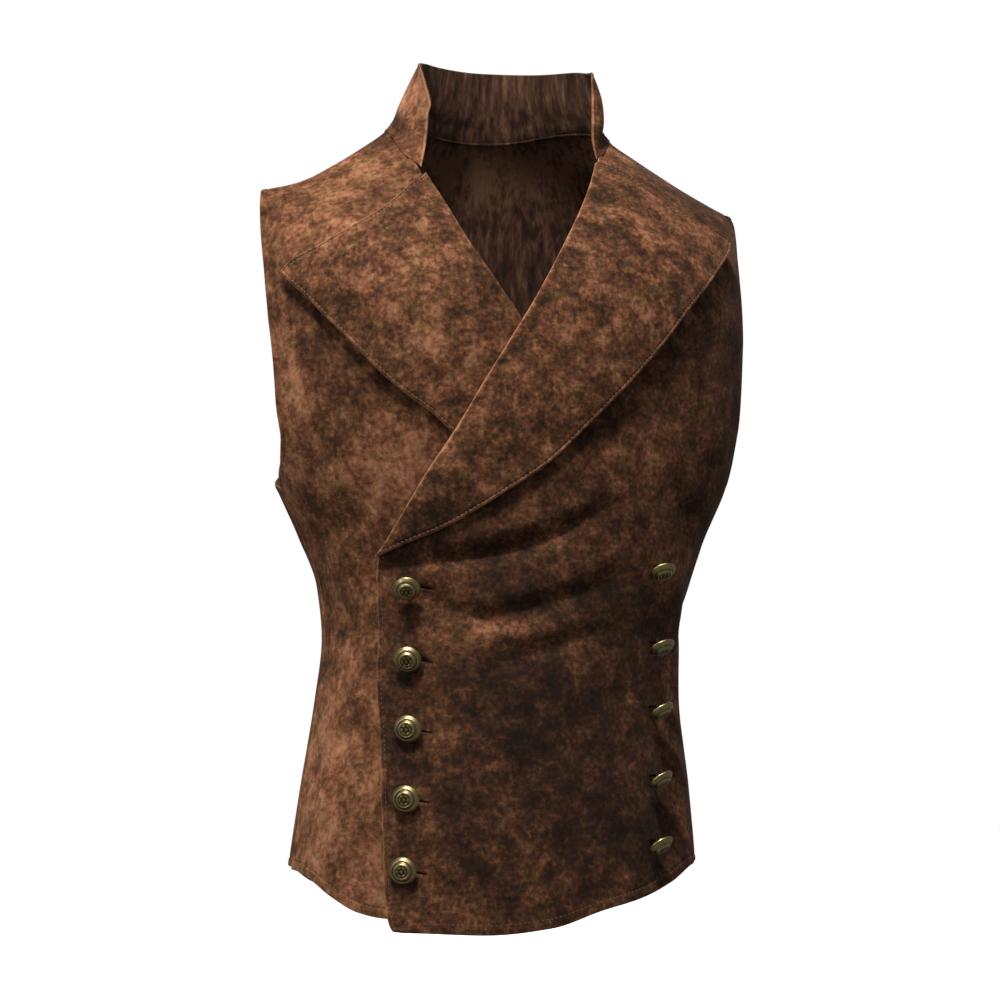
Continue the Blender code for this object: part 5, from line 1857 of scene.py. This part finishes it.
# The studio's lights: the height that each is aimed at, and its width, power and colour
LIGHT_COLUMNS = ("name", "place", "aim_z", "width", "power", "colour")
LIGHTS = (
    ("key", (-0.86, -1.14, 1.95), -0.30, 0.42, 72.0, (1.0, 0.96, 0.91)),
    ("side", (-2.3, -0.9, 0.1), -0.35, 1.2, 10.0, (1.0, 0.97, 0.93)),
    ("top", (-0.20, -0.90, 2.30), -0.30, 1.50, 16.0, (1.0, 0.97, 0.93)),
    ("card", (-0.90, -1.90, 2.20), -0.40, 4.40, 44.0, (1.0, 0.97, 0.92)),
    ("back_light", (0.8, 2.2, 0.9), -0.30, 1.4, 34.0, (1.0, 1.0, 1.0)),
)
CARD_HEIGHT = 1.40
FLOOR_Z = -0.78
FLOOR_RADIUS = 9.0
FLOOR_SIDES = 96
WHITE = (1.0, 1.0, 1.0, 1.0)


def look_at(obj, target):
    obj.rotation_mode = "QUATERNION"
    obj.rotation_quaternion = (target - obj.location).to_track_quat("-Z", "Y")


def add_light(light):
    data = bpy.data.lights.new(light["name"], "AREA")
    data.shape = "DISK"
    data.size = light["width"]
    data.energy = light["power"]
    data.color = light["colour"]
    obj = bpy.data.objects.new(light["name"], data)
    obj.location = light["place"]
    bpy.context.scene.collection.objects.link(obj)
    look_at(obj, Vector((0.0, 0.0, light["aim_z"])))
    return obj


def add_floor():
    place = (0, 0, FLOOR_Z)
    bpy.ops.mesh.primitive_circle_add(
        vertices=FLOOR_SIDES, radius=FLOOR_RADIUS, fill_type="NGON", location=place
    )
    floor = bpy.context.object
    floor.name = "floor"
    material = bpy.data.materials.new("floor")
    material.use_nodes = True
    tree = material.node_tree
    fill(
        tree,
        tree.nodes["Principled BSDF"],
        Base_Color=(0.90, 0.90, 0.90, 1.0),
        Roughness=0.85,
        Emission_Color=WHITE,
        Emission_Strength=0.80,
    )
    floor.data.materials.append(material)
    floor.visible_diffuse = False
    floor.visible_glossy = False


def add_world():
    """A plain world that looks brighter to the camera than it lights."""
    world = bpy.data.worlds.new("studio")
    bpy.context.scene.world = world
    world.use_nodes = True
    tree = world.node_tree
    background = fill(tree, tree.nodes["Background"], Color=WHITE, Strength=0.20)
    seen = add(tree, "ShaderNodeBackground", Color=WHITE, Strength=1.0)
    path = add(tree, "ShaderNodeLightPath")
    blend = add(tree, "ShaderNodeMixShader", Fac=path.outputs["Is Camera Ray"])
    tree.links.new(background.outputs["Background"], blend.inputs[1])
    tree.links.new(seen.outputs["Background"], blend.inputs[2])
    tree.links.new(blend.outputs["Shader"], tree.nodes["World Output"].inputs["Surface"])


def build_stage():
    """The camera at the photograph's place, soft studio light and a plain pale floor."""
    scene = bpy.context.scene
    camera = bpy.data.objects.new("camera", bpy.data.cameras.new("camera"))
    camera.location = (
        math.sin(CAMERA_TURN) * CAMERA_DISTANCE,
        -math.cos(CAMERA_TURN) * CAMERA_DISTANCE,
        CAMERA_HEIGHT,
    )
    camera.data.lens = CAMERA_LENS
    camera.data.sensor_width = SENSOR_WIDTH
    scene.collection.objects.link(camera)
    look_at(camera, CAMERA_AIM)
    scene.camera = camera

    lights = {light["name"]: add_light(light) for light in rows_of(LIGHTS, LIGHT_COLUMNS)}
    # The card is a wide oval that shows only in what shines
    card = lights["card"]
    card.data.shape = "ELLIPSE"
    card.data.size_y = CARD_HEIGHT
    card.visible_diffuse = False
    add_floor()
    add_world()
    scene.view_settings.view_transform = "Standard"


build_stage()
pieces = build_cloth()
cut_buttonholes(pieces["front_left"])
for name, tones_and_light in TONES_AND_PAINTED_LIGHT.items():
    paint(pieces[name], *tones_and_light)
stitching = build_stitching(pieces)
buttons = place_buttons(antique_brass("antique_brass"))

for name, piece in pieces.items():
    cloth = piece["object"]
    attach(cloth, "root")
    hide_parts(name)
    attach(stitching[name], "root")
for name, button in buttons.items():
    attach(button, "root")
    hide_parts(name)
